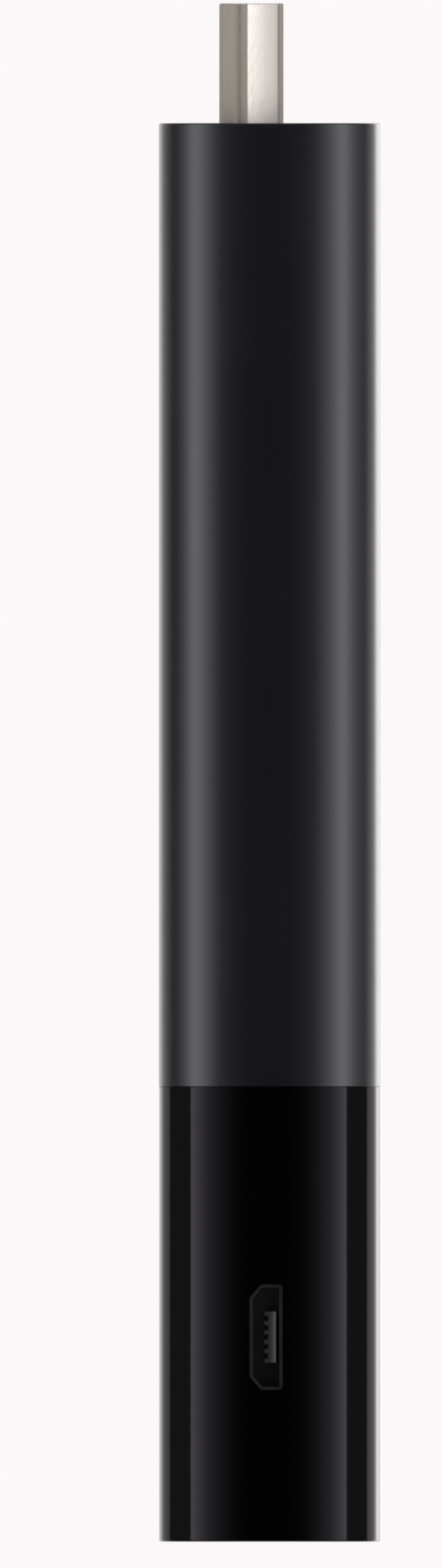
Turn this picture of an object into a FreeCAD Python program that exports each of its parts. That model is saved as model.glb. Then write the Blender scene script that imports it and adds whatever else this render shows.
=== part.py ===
import FreeCAD
import Part
import math
import os

# A streaming stick, standing on its closed end with the video plug at the top.
# +Z runs up along the stick, +X is the narrow side with the power port, and -Y is the front.
# The origin is the middle of the bottom face. Every size is in millimetres.

# Housing: a matt sleeve over a gloss end cap, both full round on their narrow sides
BODY_WIDTH = 29.4
BODY_DEPTH = 15.4
SLEEVE_LENGTH = 66.9
CAP_LENGTH = 31.6
WALL = 1.5
TOP_WALL = 1.8
CAP_FLOOR = 1.6
EDGE_CHAMFER = 0.25
SEAM_BREAK = 0.08
FIT_GAP = 0.1

# The sleeve's spigot and its snap hooks, which lock into pockets inside the cap
SPIGOT_LENGTH = 5.0
SPIGOT_WALL = 1.0
SPIGOT_ROOT = 2.0
HOOK_SPACING = 7.2
HOOK_WIDTH = 3.2
HOOK_LENGTH = 1.6
HOOK_RAMP = 1.1
HOOK_REACH = 0.5
HOOK_ABOVE_END = 1.6
SLIT_WIDTH = 0.7

# Ribs inside the housing that hold the board and its heat plates
RAIL_HEIGHT = 0.5
RAIL_WIDTH = 1.0
GUIDE_RIB = 1.0
GUIDE_GRIP = 0.7
GUIDE_HEIGHT = 20.0
COLLAR_WALL = 1.2
COLLAR_LENGTH = 2.5

# Video plug: a folded steel shell, wide side to the back, and to the front of the body's middle by a
# share of the body's depth
PLUG_REACH = 8.3
PLUG_INSIDE = 7.8
PLUG_FORWARD_SHARE = 0.0825
PLUG_WIDTH = 13.9
PLUG_HEIGHT = 4.45
PLUG_SIDE_HEIGHT = 2.5
PLUG_STEP_IN = 1.2
PLUG_STEP_HEIGHT = 0.75
PLUG_TAPER = 0.45
PLUG_CORNER = 0.45
PLUG_BEND = 0.4
PLUG_SHEET = 0.3
PLUG_LEAD_IN = 0.12
PLUG_SEAM = 0.06
PLUG_SLOT_ROOM = 0.43
PLUG_SLOT_HEIGHT = 1.8
PLUG_BACK_WALL = 1.4
PLUG_TIP_RECESS = 0.5
LATCH_WIDTH = 2.0
LATCH_LENGTH = 1.7
LATCH_SPACING = 6.4
LATCH_FROM_TIP = 4.7
PLUG_LEG_WIDTH = 1.4
PLUG_LEG_LENGTH = 2.8

# Plug contacts: ten in the row by the wide side, nine in the other
CONTACT_PITCH = 1.0
WIDE_ROW = 10
NARROW_ROW = 9
CONTACT_WIDTH = 0.34
CONTACT_THICKNESS = 0.2
CONTACT_GROOVE_GAP = 0.04
CONTACT_BOW = 0.3
CONTACT_BOW_LENGTH = 3.2
CONTACT_BOW_FLAT = 0.4
CONTACT_TAIL = 2.2
CONTACT_RISE = 0.5
CONTACT_SETBACK = 1.0

# Power port: a five-contact receptacle let into a notch in the board's edge
PORT_HEIGHT = 14.2
PORT_BEHIND_PLUG = 1.03
PORT_LENGTH = 7.4
PORT_THICKNESS = 2.35
PORT_CHAMFER_LENGTH = 0.94
PORT_CHAMFER_THICKNESS = 0.77
PORT_CORNER = 0.3
PORT_SHEET = 0.25
PORT_DEPTH = 5.6
PORT_RECESS = 0.2
PORT_GAP = 0.08
PORT_WING = 1.3
PORT_BLOCK = 1.5
TONGUE_LENGTH = 3.6
TONGUE_THICKNESS = 0.5
TONGUE_FROM_WALL = 0.25
TONGUE_RIB_HEIGHT = 0.3
TONGUE_RIB_WIDTH = 0.3
PORT_CONTACTS = 5
PORT_PITCH = 0.65
PORT_CONTACT_WIDTH = 0.3
PORT_CONTACT_THICKNESS = 0.2
PORT_CONTACT_SETBACK = 0.6
PORT_TAIL = 0.9
PORT_TAIL_BEND = 0.4

# Circuit board
BOARD_SIDE_GAP = 1.9
BOARD_THICKNESS = 1.0
BOARD_CORNER = 1.0
NOTCH_GAP = 0.2

# Heat plates and the screws that clamp them to the board
SINK_GAP = 0.25
SINK_ABOVE_SEAM = 5.4
SINK_BELOW_PLUG = 4.2
FIN_PITCH = 2.4
FIN_GROOVES = 7
GROOVE_WIDTH = 1.2
SINK_BASE = 1.5
BOSS_FROM_BOARD_EDGE = 3.7
BOSS_FROM_PLATE_END = 3.0
BOSS_RADIUS = 1.7
SCREW_RADIUS = 0.8
SCREW_HOLE_GAP = 0.1
SCREW_THREAD_GAP = 0.02
SCREW_BITE = 2.4
SCREW_END_GAP = 0.5
SCREW_HEAD_RADIUS = 1.3
SCREW_HEAD_HEIGHT = 0.7
COUNTERBORE_DEPTH = 0.8

# Shielding cans and what lies under them
CAN_SHEET = 0.2
CAN_GAP = 0.02
CAN_SKIRT = 1.1
CAN_FLANGE = 0.8
CAN_CORNER = 0.25
CAN_ROOM = 1.25
PROCESSOR_SIDE = 12.0
PROCESSOR_SUBSTRATE = 0.4
PROCESSOR_MOULD = 0.7
PROCESSOR_MARGIN = 0.6
MEMORY_WIDTH = 7.5
MEMORY_LENGTH = 11.0
MEMORY_HEIGHT = 1.0
CHIP_SPACING = 1.1
FLASH_WIDTH = 11.5
FLASH_LENGTH = 13.0
FLASH_HEIGHT = 0.9
CHIP_PAD = 0.4
REAR_PAD = 1.0
FRONT_PAD_SHARE = 0.34
PAD_MARGIN = 1.5

# Radio module and its two stamped antennas
RADIO_SIDE = 12.0
RADIO_BOARD = 0.5
RADIO_CAN_HEIGHT = 1.5
RADIO_X = -4.0
RADIO_ABOVE_CAP_SEAM = -1.4
ANTENNA_SHEET = 0.2
ANTENNA_HEIGHT = 3.0
ANTENNA_WIDTH = 2.4
ANTENNA_LENGTH = 14.0
ANTENNA_LEG = 1.0
ANTENNA_GAP = 0.4
ANTENNA_TO_RADIO = 3.7

# Status light and its light guide
LIGHT_BELOW_SEAM = 10.6
LIGHT_BODY = (1.6, 0.6, 0.8)
GUIDE_FACE_RADIUS = 0.6
GUIDE_STEM_RADIUS = 0.8
GUIDE_FLANGE_RADIUS = 1.3
GUIDE_FLANGE = 0.6
GUIDE_GAP = 0.3
GUIDE_FIT = 0.05

# Small components, each as width, height off the board and length
REGULATOR = (3.0, 0.8, 3.0)
INDUCTOR = (4.0, 1.8, 4.0)
INDUCTOR_CORNER = 0.9
FUSE = (1.6, 0.7, 3.2)
CRYSTAL = (3.2, 0.7, 2.5)
CRYSTAL_CORNER = 0.5
SURGE_ARRAY = (2.5, 0.6, 1.3)
CAPACITOR = (0.8, 0.8, 1.6)
CAPACITOR_END = 0.35
CAPACITOR_WAIST = 0.04
RESISTOR = (0.5, 0.35, 1.0)

# How many of them there are, and the spaces between them
INDUCTORS = 3
REGULATORS = 2
SURGE_ARRAYS = 3
FRONT_CAPACITORS = 6
REAR_CAPACITORS = 4
RESISTORS_PER_ROW = 5
PART_GAP = 0.7
ROW_GAP = 0.4
POWER_GAP = 2.0
POWER_ABOVE_LIGHT = 4.5
RESISTOR_ROWS_APART = 4.8
BEHIND_PORT = 2.4
SURGE_GAP = 1.5

# Places worked out from the sizes above
BODY_LENGTH = SLEEVE_LENGTH + CAP_LENGTH
CAVITY_WIDTH = BODY_WIDTH - 2 * WALL
CAVITY_DEPTH = BODY_DEPTH - 2 * WALL
CAVITY_TOP = BODY_LENGTH - TOP_WALL
BOARD_WIDTH = CAVITY_WIDTH - 2 * BOARD_SIDE_GAP
SPIGOT_WIDTH = CAVITY_WIDTH - 2 * FIT_GAP
SPIGOT_DEPTH = CAVITY_DEPTH - 2 * FIT_GAP
SPIGOT_END = CAP_LENGTH - SPIGOT_LENGTH
HOOK_Z = SPIGOT_END + HOOK_ABOVE_END
PLUG_Y = -PLUG_FORWARD_SHARE * BODY_DEPTH
PORT_Y = PLUG_Y + PORT_BEHIND_PLUG
LIGHT_HEIGHT = CAP_LENGTH - LIGHT_BELOW_SEAM
PLUG_TIP = BODY_LENGTH + PLUG_REACH
PLUG_REAR = BODY_LENGTH - PLUG_INSIDE
BOARD_FRONT = PLUG_Y - BOARD_THICKNESS / 2
BOARD_BACK = PLUG_Y + BOARD_THICKNESS / 2
BOARD_BOTTOM = CAP_FLOOR + FIT_GAP
BOARD_TOP = PLUG_REAR - FIT_GAP
PORT_MOUTH = BODY_WIDTH / 2 - PORT_RECESS
PORT_REAR = PORT_MOUTH - PORT_DEPTH
SINK_BOTTOM = CAP_LENGTH + SINK_ABOVE_SEAM
SINK_TOP = BOARD_TOP - SINK_BELOW_PLUG
SINK_OUTER = CAVITY_DEPTH / 2 - RAIL_HEIGHT - FIT_GAP
RAIL_X = FIN_PITCH * (FIN_GROOVES - 2) / 2
CAN_CENTRE = (SINK_BOTTOM + SINK_TOP) / 2
CAN_MARGIN = CAN_SHEET + CAN_ROOM
REAR_CAN_WIDTH = 2 * MEMORY_WIDTH + CHIP_SPACING + 2 * CAN_MARGIN
REAR_CAN_LENGTH = PROCESSOR_SIDE + CHIP_SPACING + MEMORY_LENGTH + 2 * CAN_MARGIN
FRONT_CAN_WIDTH = FLASH_WIDTH + 2 * CAN_MARGIN
FRONT_CAN_LENGTH = FLASH_LENGTH + 2 * CAN_MARGIN
PROCESSOR_TOP = BOARD_BACK + PROCESSOR_SUBSTRATE + PROCESSOR_MOULD
REAR_LID_INNER = PROCESSOR_TOP + CHIP_PAD
REAR_LID_OUTER = REAR_LID_INNER + CAN_SHEET
SINK_INNER = REAR_LID_OUTER + REAR_PAD
FLASH_TOP = BOARD_FRONT - FLASH_HEIGHT
FRONT_LID_INNER = FLASH_TOP - CHIP_PAD
FRONT_LID_OUTER = FRONT_LID_INNER - CAN_SHEET
PLATE_OUTER = -SINK_OUTER
PLATE_INNER = FRONT_LID_OUTER - FRONT_PAD_SHARE * (FRONT_LID_OUTER - PLATE_OUTER)
BOSS_X = BOARD_WIDTH / 2 - BOSS_FROM_BOARD_EDGE
BOSS_PLACES = [(-BOSS_X, SINK_BOTTOM + BOSS_FROM_PLATE_END), (BOSS_X, SINK_TOP - BOSS_FROM_PLATE_END)]
POWER_Z = LIGHT_HEIGHT + POWER_ABOVE_LIGHT
FRONT_CAPACITOR_Z = POWER_Z + INDUCTOR[2] + ROW_GAP + CAPACITOR[2] / 2
RADIO_EDGE = RADIO_X + RADIO_SIDE / 2
TOLERANCE = 1e-6


# Shape helpers


def block(x, y, z):
    """A box from its low and high values along each axis."""
    corner = FreeCAD.Vector(x[0], y[0], z[0])
    return Part.makeBox(x[1] - x[0], y[1] - y[0], z[1] - z[0], corner)


def centred(middle, size):
    """The low and high values of a stretch about its middle."""
    return (middle - size / 2, middle + size / 2)


def span(first, second):
    """The low and high values of a stretch between two values, in either order."""
    return (min(first, second), max(first, second))


def row(count, pitch):
    """Evenly spaced places about the middle."""
    return [(i - (count - 1) / 2) * pitch for i in range(count)]


def rod(radius, start, end):
    """A round bar between two points."""
    first = FreeCAD.Vector(*start)
    along = FreeCAD.Vector(*end) - first
    return Part.makeCylinder(radius, along.Length, first, along)


def fused(shapes):
    """One solid out of several that overlap."""
    return shapes[0].multiFuse(shapes[1:]).removeSplitter()


def edges_at_z(shape, z):
    """The edges of a shape that lie flat at one height."""
    return [e for e in shape.Edges if all(abs(v.Z - z) < TOLERANCE for v in e.Vertexes)]


def corner_arc(before, here, after, radius):
    """Start, middle and end of the arc that rounds a corner, all at the corner if it is sharp."""
    if radius <= TOLERANCE:
        return here, here, here
    back = (before - here).normalize()
    on = (after - here).normalize()
    half = back.getAngle(on) / 2
    reach = radius / math.tan(half)
    inward = (back + on).normalize()
    middle = here + inward * (radius / math.sin(half) - radius)
    return here + back * reach, middle, here + on * reach


def outline(corners, place):
    """A flat face from corners of (u, v, radius), laid in space by place(u, v)."""
    points = [place(u, v) for u, v, _ in corners]
    arcs = [
        corner_arc(points[i - 1], points[i], points[(i + 1) % len(points)], corners[i][2])
        for i in range(len(points))
    ]
    edges = []
    for last, this in zip([arcs[-1]] + arcs[:-1], arcs):
        if last[2].distanceToPoint(this[0]) > TOLERANCE:
            edges.append(Part.LineSegment(last[2], this[0]).toShape())
        if this[0].distanceToPoint(this[2]) > TOLERANCE:
            edges.append(Part.Arc(*this).toShape())
    return Part.Face(Part.Wire(edges))


def grown(face, by):
    """A flat face with its outline moved outwards, or inwards if the distance is negative."""
    return Part.Face(face.OuterWire.makeOffset2D(by)) if by else face


def slab(width, depth, bottom, top):
    """A flat bar with full round narrow sides, standing along Z."""
    x, y, radius = width / 2, depth / 2, depth / 2
    corners = [(-x, -y, radius), (x, -y, radius), (x, y, radius), (-x, y, radius)]
    face = outline(corners, lambda u, v: FreeCAD.Vector(u, v, bottom))
    return face.extrude(FreeCAD.Vector(0, 0, top - bottom))


def rounded_block(x, y, z, radius):
    """A box whose four corners, seen along Y, are rounded."""
    corners = [(x[0], z[0], radius), (x[1], z[0], radius), (x[1], z[1], radius), (x[0], z[1], radius)]
    face = outline(corners, lambda u, v: FreeCAD.Vector(u, y[0], v))
    return face.extrude(FreeCAD.Vector(0, y[1] - y[0], 0))


def ribbon(points, thickness, across, place):
    """A bent strip of even thickness along points of (u, v), as wide as across, low to high."""
    left = []
    right = []
    for i, (u, v) in enumerate(points):
        before = points[max(i - 1, 0)]
        after = points[min(i + 1, len(points) - 1)]
        first = FreeCAD.Vector(u - before[0], v - before[1], 0) if i else None
        second = FreeCAD.Vector(after[0] - u, after[1] - v, 0) if i < len(points) - 1 else None
        first = (first or second).normalize()
        second = (second or first).normalize()
        out = FreeCAD.Vector(first.y + second.y, -first.x - second.x, 0)
        out = out * (thickness / 2 / (1 + first.dot(second)))
        left.append((u + out.x, v + out.y, 0))
        right.append((u - out.x, v - out.y, 0))
    face = outline(left + right[::-1], lambda a, b: place(a, b, across[0]))
    return face.extrude(place(0, 0, across[1]) - place(0, 0, across[0]))


def on_board(size, x, z, front=False):
    """The block of a component that is soldered to the board's back, or to its front."""
    y = (BOARD_FRONT - size[1], BOARD_FRONT) if front else (BOARD_BACK, BOARD_BACK + size[1])
    return block(centred(x, size[0]), y, centred(z, size[2]))


# Outlines that more than one piece follows


def plug_outline():
    """The plug's D shape about its own middle, wide side towards +Y."""
    side = PLUG_WIDTH / 2
    top = PLUG_HEIGHT / 2
    shoulder = top - PLUG_SIDE_HEIGHT
    step = shoulder - PLUG_STEP_HEIGHT
    right = [
        (side - PLUG_STEP_IN - PLUG_TAPER, -top, PLUG_CORNER),
        (side - PLUG_STEP_IN, step, PLUG_BEND),
        (side, shoulder, PLUG_BEND),
        (side, top, PLUG_CORNER),
    ]
    return right + [(-u, v, radius) for u, v, radius in right[::-1]]


def plug_prism(by, bottom, top):
    """The plug's outline, grown by a distance, as a bar along Z."""
    face = outline(plug_outline(), lambda u, v: FreeCAD.Vector(u, PLUG_Y + v, bottom))
    return grown(face, by).extrude(FreeCAD.Vector(0, 0, top - bottom))


def port_outline():
    """The power port's outline as (height, depth), its chamfered side towards the front."""
    high = PORT_LENGTH / 2
    back = PORT_THICKNESS / 2
    upper = [
        (high - PORT_CHAMFER_LENGTH, -back, PORT_CORNER),
        (high, -back + PORT_CHAMFER_THICKNESS, PORT_CORNER),
        (high, back, PORT_CORNER),
    ]
    return upper + [(-u, v, radius) for u, v, radius in upper[::-1]]


def port_prism(by, inner, outer):
    """The power port's outline, grown by a distance, as a bar along X."""
    face = outline(port_outline(), lambda u, v: FreeCAD.Vector(inner, PORT_Y + v, PORT_HEIGHT + u))
    return grown(face, by).extrude(FreeCAD.Vector(outer - inner, 0, 0))


# Housing


def hook_places():
    """Each snap hook's X and the side of the spigot that it is on, front or back."""
    return [(x * HOOK_SPACING / 2, side) for x in (-1, 1) for side in (-1, 1)]


def snap_hook(x, side):
    """A wedge on the spigot: a long ramp below, to slide in, and a short one above, to hold."""
    root = SPIGOT_DEPTH / 2 - SPIGOT_WALL / 2
    face = SPIGOT_DEPTH / 2
    profile = [
        (side * root, HOOK_Z, 0),
        (side * face, HOOK_Z, 0),
        (side * (face + HOOK_REACH), HOOK_Z + HOOK_RAMP, 0),
        (side * face, HOOK_Z + HOOK_LENGTH, 0),
        (side * root, HOOK_Z + HOOK_LENGTH, 0),
    ]
    wedge = outline(profile, lambda u, v: FreeCAD.Vector(x - HOOK_WIDTH / 2, u, v))
    return wedge.extrude(FreeCAD.Vector(HOOK_WIDTH, 0, 0))


def main_sleeve():
    shell = slab(BODY_WIDTH, BODY_DEPTH, CAP_LENGTH, BODY_LENGTH)
    shell = shell.makeChamfer(EDGE_CHAMFER, edges_at_z(shell, BODY_LENGTH))
    shell = shell.makeChamfer(SEAM_BREAK, edges_at_z(shell, CAP_LENGTH))
    root_top = CAP_LENGTH + SPIGOT_ROOT
    spigot = slab(SPIGOT_WIDTH, SPIGOT_DEPTH, SPIGOT_END, root_top)
    hooks = [snap_hook(x, side) for x, side in hook_places()]
    shell = fused([shell, spigot] + hooks)
    bore_width = SPIGOT_WIDTH - 2 * SPIGOT_WALL
    bore_depth = SPIGOT_DEPTH - 2 * SPIGOT_WALL
    cuts = [
        slab(CAVITY_WIDTH, CAVITY_DEPTH, root_top, CAVITY_TOP),
        slab(bore_width, bore_depth, SPIGOT_END, root_top),
    ]
    for x, side in hook_places():
        for edge in (-1, 1):
            middle = x + edge * (HOOK_WIDTH + SLIT_WIDTH) / 2
            y = span(side * bore_depth / 4, side * SPIGOT_DEPTH / 2)
            cuts.append(block(centred(middle, SLIT_WIDTH), y, (SPIGOT_END, CAP_LENGTH - FIT_GAP)))
    shell = shell.cut(cuts)
    ribs = [plug_prism(PLUG_SHEET + COLLAR_WALL, CAVITY_TOP - COLLAR_LENGTH, BODY_LENGTH - TOP_WALL / 2)]
    for side in (-1, 1):
        y = span(side * (CAVITY_DEPTH / 2 - RAIL_HEIGHT), side * (CAVITY_DEPTH + WALL) / 2)
        for x in (-RAIL_X, RAIL_X):
            ribs.append(block(centred(x, RAIL_WIDTH), y, (root_top, CAVITY_TOP + TOP_WALL / 2)))
    shell = fused([shell] + ribs)
    return shell.cut(plug_prism(FIT_GAP, PLUG_REAR, PLUG_TIP))


def board_guides():
    """Pairs of ribs in the cap that take the board's two long edges."""
    inside = slab(CAVITY_WIDTH + WALL, CAVITY_DEPTH + WALL, CAP_FLOOR / 2, CAP_LENGTH)
    port_end = PORT_HEIGHT - PORT_LENGTH / 2 - PORT_WING - 2 * FIT_GAP
    ribs = []
    for side, top in ((-1, GUIDE_HEIGHT), (1, port_end)):
        x = span(side * (BOARD_WIDTH / 2 - GUIDE_GRIP), side * BODY_WIDTH / 2)
        for face, away in ((BOARD_FRONT, -1), (BOARD_BACK, 1)):
            y = span(face + away * FIT_GAP, face + away * (FIT_GAP + GUIDE_RIB))
            ribs.append(block(x, y, (CAP_FLOOR / 2, top)).common(inside))
    return ribs


def end_cap():
    shell = slab(BODY_WIDTH, BODY_DEPTH, 0, CAP_LENGTH)
    shell = shell.makeChamfer(EDGE_CHAMFER, edges_at_z(shell, 0))
    shell = shell.makeChamfer(SEAM_BREAK, edges_at_z(shell, CAP_LENGTH))
    shell = shell.cut(slab(CAVITY_WIDTH, CAVITY_DEPTH, CAP_FLOOR, CAP_LENGTH))
    shell = fused([shell] + board_guides())
    cuts = [
        port_prism(PORT_GAP, PORT_REAR, BODY_WIDTH),
        rod(GUIDE_FACE_RADIUS + GUIDE_FIT, (0, -BODY_DEPTH, LIGHT_HEIGHT), (0, 0, LIGHT_HEIGHT)),
    ]
    for x, side in hook_places():
        y = span(side * SPIGOT_DEPTH / 2, side * (SPIGOT_DEPTH / 2 + HOOK_REACH + FIT_GAP))
        z = (HOOK_Z - FIT_GAP, HOOK_Z + HOOK_LENGTH + FIT_GAP)
        cuts.append(block(centred(x, HOOK_WIDTH + 2 * FIT_GAP), y, z))
    return shell.cut(cuts)


def light_guide():
    """Clear rod from the status light to the cap's front face, with a flange behind the wall."""
    wall = -CAVITY_DEPTH / 2
    light_top = BOARD_FRONT - LIGHT_BODY[1]
    face = rod(GUIDE_FACE_RADIUS, (0, -BODY_DEPTH / 2, LIGHT_HEIGHT), (0, wall, LIGHT_HEIGHT))
    flange = rod(GUIDE_FLANGE_RADIUS, (0, wall, LIGHT_HEIGHT), (0, wall + GUIDE_FLANGE, LIGHT_HEIGHT))
    stem = rod(GUIDE_STEM_RADIUS, (0, wall, LIGHT_HEIGHT), (0, light_top - GUIDE_GAP, LIGHT_HEIGHT))
    return fused([face, flange, stem])


# Video plug


def plug_shell():
    shell = plug_prism(0, PLUG_REAR, PLUG_TIP)
    shell = shell.makeChamfer(PLUG_LEAD_IN, edges_at_z(shell, PLUG_TIP))
    shell = shell.cut(plug_prism(-PLUG_SHEET, PLUG_REAR, PLUG_TIP))
    latch_z = (PLUG_TIP - LATCH_FROM_TIP - LATCH_LENGTH, PLUG_TIP - LATCH_FROM_TIP)
    through = centred(PLUG_Y, 2 * PLUG_HEIGHT)
    cuts = [
        block(centred(side * LATCH_SPACING / 2, LATCH_WIDTH), through, latch_z) for side in (-1, 1)
    ]
    seam_y = (PLUG_Y - PLUG_HEIGHT, PLUG_Y)
    cuts.append(block(centred(0, PLUG_SEAM), seam_y, (PLUG_REAR, PLUG_TIP)))
    shell = shell.cut(cuts)
    legs = []
    for side in (-1, 1):
        x = span(side * PLUG_WIDTH / 2, side * (PLUG_WIDTH / 2 - PLUG_SHEET))
        y = centred(PLUG_Y + (PLUG_HEIGHT - PLUG_SIDE_HEIGHT) / 2, PLUG_LEG_WIDTH)
        legs.append(block(x, y, (PLUG_REAR - PLUG_LEG_LENGTH, PLUG_REAR + PLUG_SHEET)))
    return fused([shell] + legs)


def plug_contact_places():
    """Each contact's X, and the side of the slot that its row is on."""
    wide = [(x, 1) for x in row(WIDE_ROW, CONTACT_PITCH)]
    return wide + [(x, -1) for x in row(NARROW_ROW, CONTACT_PITCH)]


def plug_insulator():
    front = PLUG_TIP - PLUG_TIP_RECESS
    body = plug_prism(-PLUG_SHEET - CAN_GAP, PLUG_REAR, front)
    slot_y = centred(PLUG_Y, PLUG_SLOT_HEIGHT)
    slot_width = (WIDE_ROW - 1) * CONTACT_PITCH + CONTACT_WIDTH + 2 * PLUG_SLOT_ROOM
    cuts = [block(centred(0, slot_width), slot_y, (PLUG_REAR + PLUG_BACK_WALL, front))]
    groove_top = front - CONTACT_SETBACK + FIT_GAP
    groove_floor = PLUG_SLOT_HEIGHT / 2 + CONTACT_THICKNESS + CONTACT_GROOVE_GAP
    for x, side in plug_contact_places():
        y = span(PLUG_Y + side * (PLUG_SLOT_HEIGHT / 2 - FIT_GAP), PLUG_Y + side * groove_floor)
        groove_width = CONTACT_WIDTH + 2 * CONTACT_GROOVE_GAP
        cuts.append(block(centred(x, groove_width), y, (PLUG_REAR, groove_top)))
    return body.cut(cuts)


def plug_contact(x, side):
    """One sprung contact: a tail on the board, a straight run in its groove and a bowed tip."""
    groove = PLUG_SLOT_HEIGHT / 2 + CONTACT_THICKNESS / 2
    pad = BOARD_THICKNESS / 2 + CONTACT_THICKNESS / 2
    tip = PLUG_TIP - PLUG_TIP_RECESS - CONTACT_SETBACK
    crest = tip - CONTACT_BOW_LENGTH / 3
    points = [
        (pad, BOARD_TOP - CONTACT_TAIL),
        (pad, BOARD_TOP - CONTACT_RISE),
        (groove, PLUG_REAR - FIT_GAP),
        (groove, tip - CONTACT_BOW_LENGTH),
        (groove - CONTACT_BOW, crest - CONTACT_BOW_FLAT / 2),
        (groove - CONTACT_BOW, crest + CONTACT_BOW_FLAT / 2),
        (groove - FIT_GAP, tip),
    ]
    return ribbon(
        points,
        CONTACT_THICKNESS,
        centred(x, CONTACT_WIDTH),
        lambda u, v, w: FreeCAD.Vector(w, PLUG_Y + side * u, v),
    )


def plug_wide_row_contacts():
    return Part.makeCompound([plug_contact(x, side) for x, side in plug_contact_places() if side > 0])


def plug_narrow_row_contacts():
    return Part.makeCompound([plug_contact(x, side) for x, side in plug_contact_places() if side < 0])


# Power port


def port_shell():
    shell = port_prism(0, PORT_REAR, PORT_MOUTH).cut(port_prism(-PORT_SHEET, PORT_REAR, PORT_MOUTH))
    wings = []
    overlap = PORT_SHEET / 2
    x = (PORT_REAR, BOARD_WIDTH / 2)
    for side in (-1, 1):
        root = PORT_HEIGHT + side * (PORT_LENGTH / 2 - overlap)
        z = span(root, PORT_HEIGHT + side * (PORT_LENGTH / 2 + PORT_WING))
        wings.append(block(x, (BOARD_BACK, BOARD_BACK + PORT_SHEET), z))
    return fused([shell] + wings)


def tongue_faces():
    """The tongue's contact face and its back face, as Y values."""
    back = PORT_Y + PORT_THICKNESS / 2 - PORT_SHEET - TONGUE_FROM_WALL
    return back - TONGUE_THICKNESS, back


def port_contact(z):
    """A tail soldered to the board's back, and a strip let half into the tongue's contact face."""
    level = tongue_faces()[0]
    tail = BOARD_BACK + PORT_CONTACT_THICKNESS / 2
    bend = PORT_REAR - NOTCH_GAP
    points = [
        (bend - PORT_TAIL_BEND - PORT_TAIL, tail),
        (bend - PORT_TAIL_BEND, tail),
        (bend, level),
        (PORT_REAR + PORT_BLOCK + TONGUE_LENGTH - PORT_CONTACT_SETBACK, level),
    ]
    width = centred(z, PORT_CONTACT_WIDTH)
    return ribbon(points, PORT_CONTACT_THICKNESS, width, lambda u, v, w: FreeCAD.Vector(u, v, w))


def port_contacts():
    return Part.makeCompound([port_contact(PORT_HEIGHT + z) for z in row(PORT_CONTACTS, PORT_PITCH)])


def port_insulator():
    """A rear block with a tongue, whose ribs stand between the contacts and beside the outer two."""
    rear_wall = port_prism(-PORT_SHEET - CAN_GAP, PORT_REAR, PORT_REAR + PORT_BLOCK)
    tongue_x = (PORT_REAR + PORT_BLOCK / 2, PORT_REAR + PORT_BLOCK + TONGUE_LENGTH)
    tongue_width = PORT_CONTACTS * PORT_PITCH + TONGUE_RIB_WIDTH
    tongue = block(tongue_x, tongue_faces(), centred(PORT_HEIGHT, tongue_width))
    level = tongue_faces()[0]
    rib_y = (level - TONGUE_RIB_HEIGHT, level)
    ribs = [
        block(tongue_x, rib_y, centred(PORT_HEIGHT + z, TONGUE_RIB_WIDTH))
        for z in row(PORT_CONTACTS + 1, PORT_PITCH)
    ]
    return fused([rear_wall, tongue] + ribs).cut(port_contacts())


# Circuit board and what clamps it


def main_board():
    half = BOARD_WIDTH / 2
    notch_x = PORT_REAR - NOTCH_GAP
    notch = centred(PORT_HEIGHT, PORT_LENGTH + 2 * NOTCH_GAP)
    corners = [
        (-half, BOARD_BOTTOM, BOARD_CORNER),
        (half, BOARD_BOTTOM, BOARD_CORNER),
        (half, notch[0], 0),
        (notch_x, notch[0], 0),
        (notch_x, notch[1], 0),
        (half, notch[1], 0),
        (half, BOARD_TOP, BOARD_CORNER),
        (-half, BOARD_TOP, BOARD_CORNER),
    ]
    face = outline(corners, lambda u, v: FreeCAD.Vector(u, BOARD_FRONT, v))
    board = face.extrude(FreeCAD.Vector(0, BOARD_THICKNESS, 0))
    through = (BOARD_FRONT, BOARD_BACK)
    hole = SCREW_RADIUS + SCREW_HOLE_GAP
    cuts = [rod(hole, (x, BOARD_FRONT, z), (x, BOARD_BACK, z)) for x, z in BOSS_PLACES]
    for side in (-1, 1):
        x = centred(side * (PLUG_WIDTH - PLUG_SHEET) / 2, PLUG_SHEET + 2 * FIT_GAP)
        cuts.append(block(x, through, (PLUG_REAR - PLUG_LEG_LENGTH - FIT_GAP, PLUG_REAR)))
    return board.cut(cuts)


def sink_room():
    """What the heat plates may fill: the sleeve's inside, less a running gap."""
    return slab(CAVITY_WIDTH - 2 * SINK_GAP, CAVITY_DEPTH - 2 * SINK_GAP, SINK_BOTTOM, SINK_TOP)


def rear_heatsink():
    x = (-CAVITY_WIDTH / 2, CAVITY_WIDTH / 2)
    sink = sink_room().common(block(x, (SINK_INNER, SINK_OUTER), (SINK_BOTTOM, SINK_TOP)))
    posts = [
        rod(BOSS_RADIUS, (x, BOARD_BACK, z), (x, SINK_INNER + SINK_BASE / 2, z)) for x, z in BOSS_PLACES
    ]
    sink = fused([sink] + posts)
    cuts = []
    for middle in row(FIN_GROOVES, FIN_PITCH):
        y = (SINK_INNER + SINK_BASE, SINK_OUTER)
        cuts.append(block(centred(middle, GROOVE_WIDTH), y, (SINK_BOTTOM, SINK_TOP)))
    thread = SCREW_RADIUS + SCREW_THREAD_GAP
    thread_end = BOARD_BACK + SCREW_BITE + SCREW_END_GAP
    for x, z in BOSS_PLACES:
        cuts.append(rod(thread, (x, BOARD_BACK, z), (x, thread_end, z)))
    return sink.cut(cuts)


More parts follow.
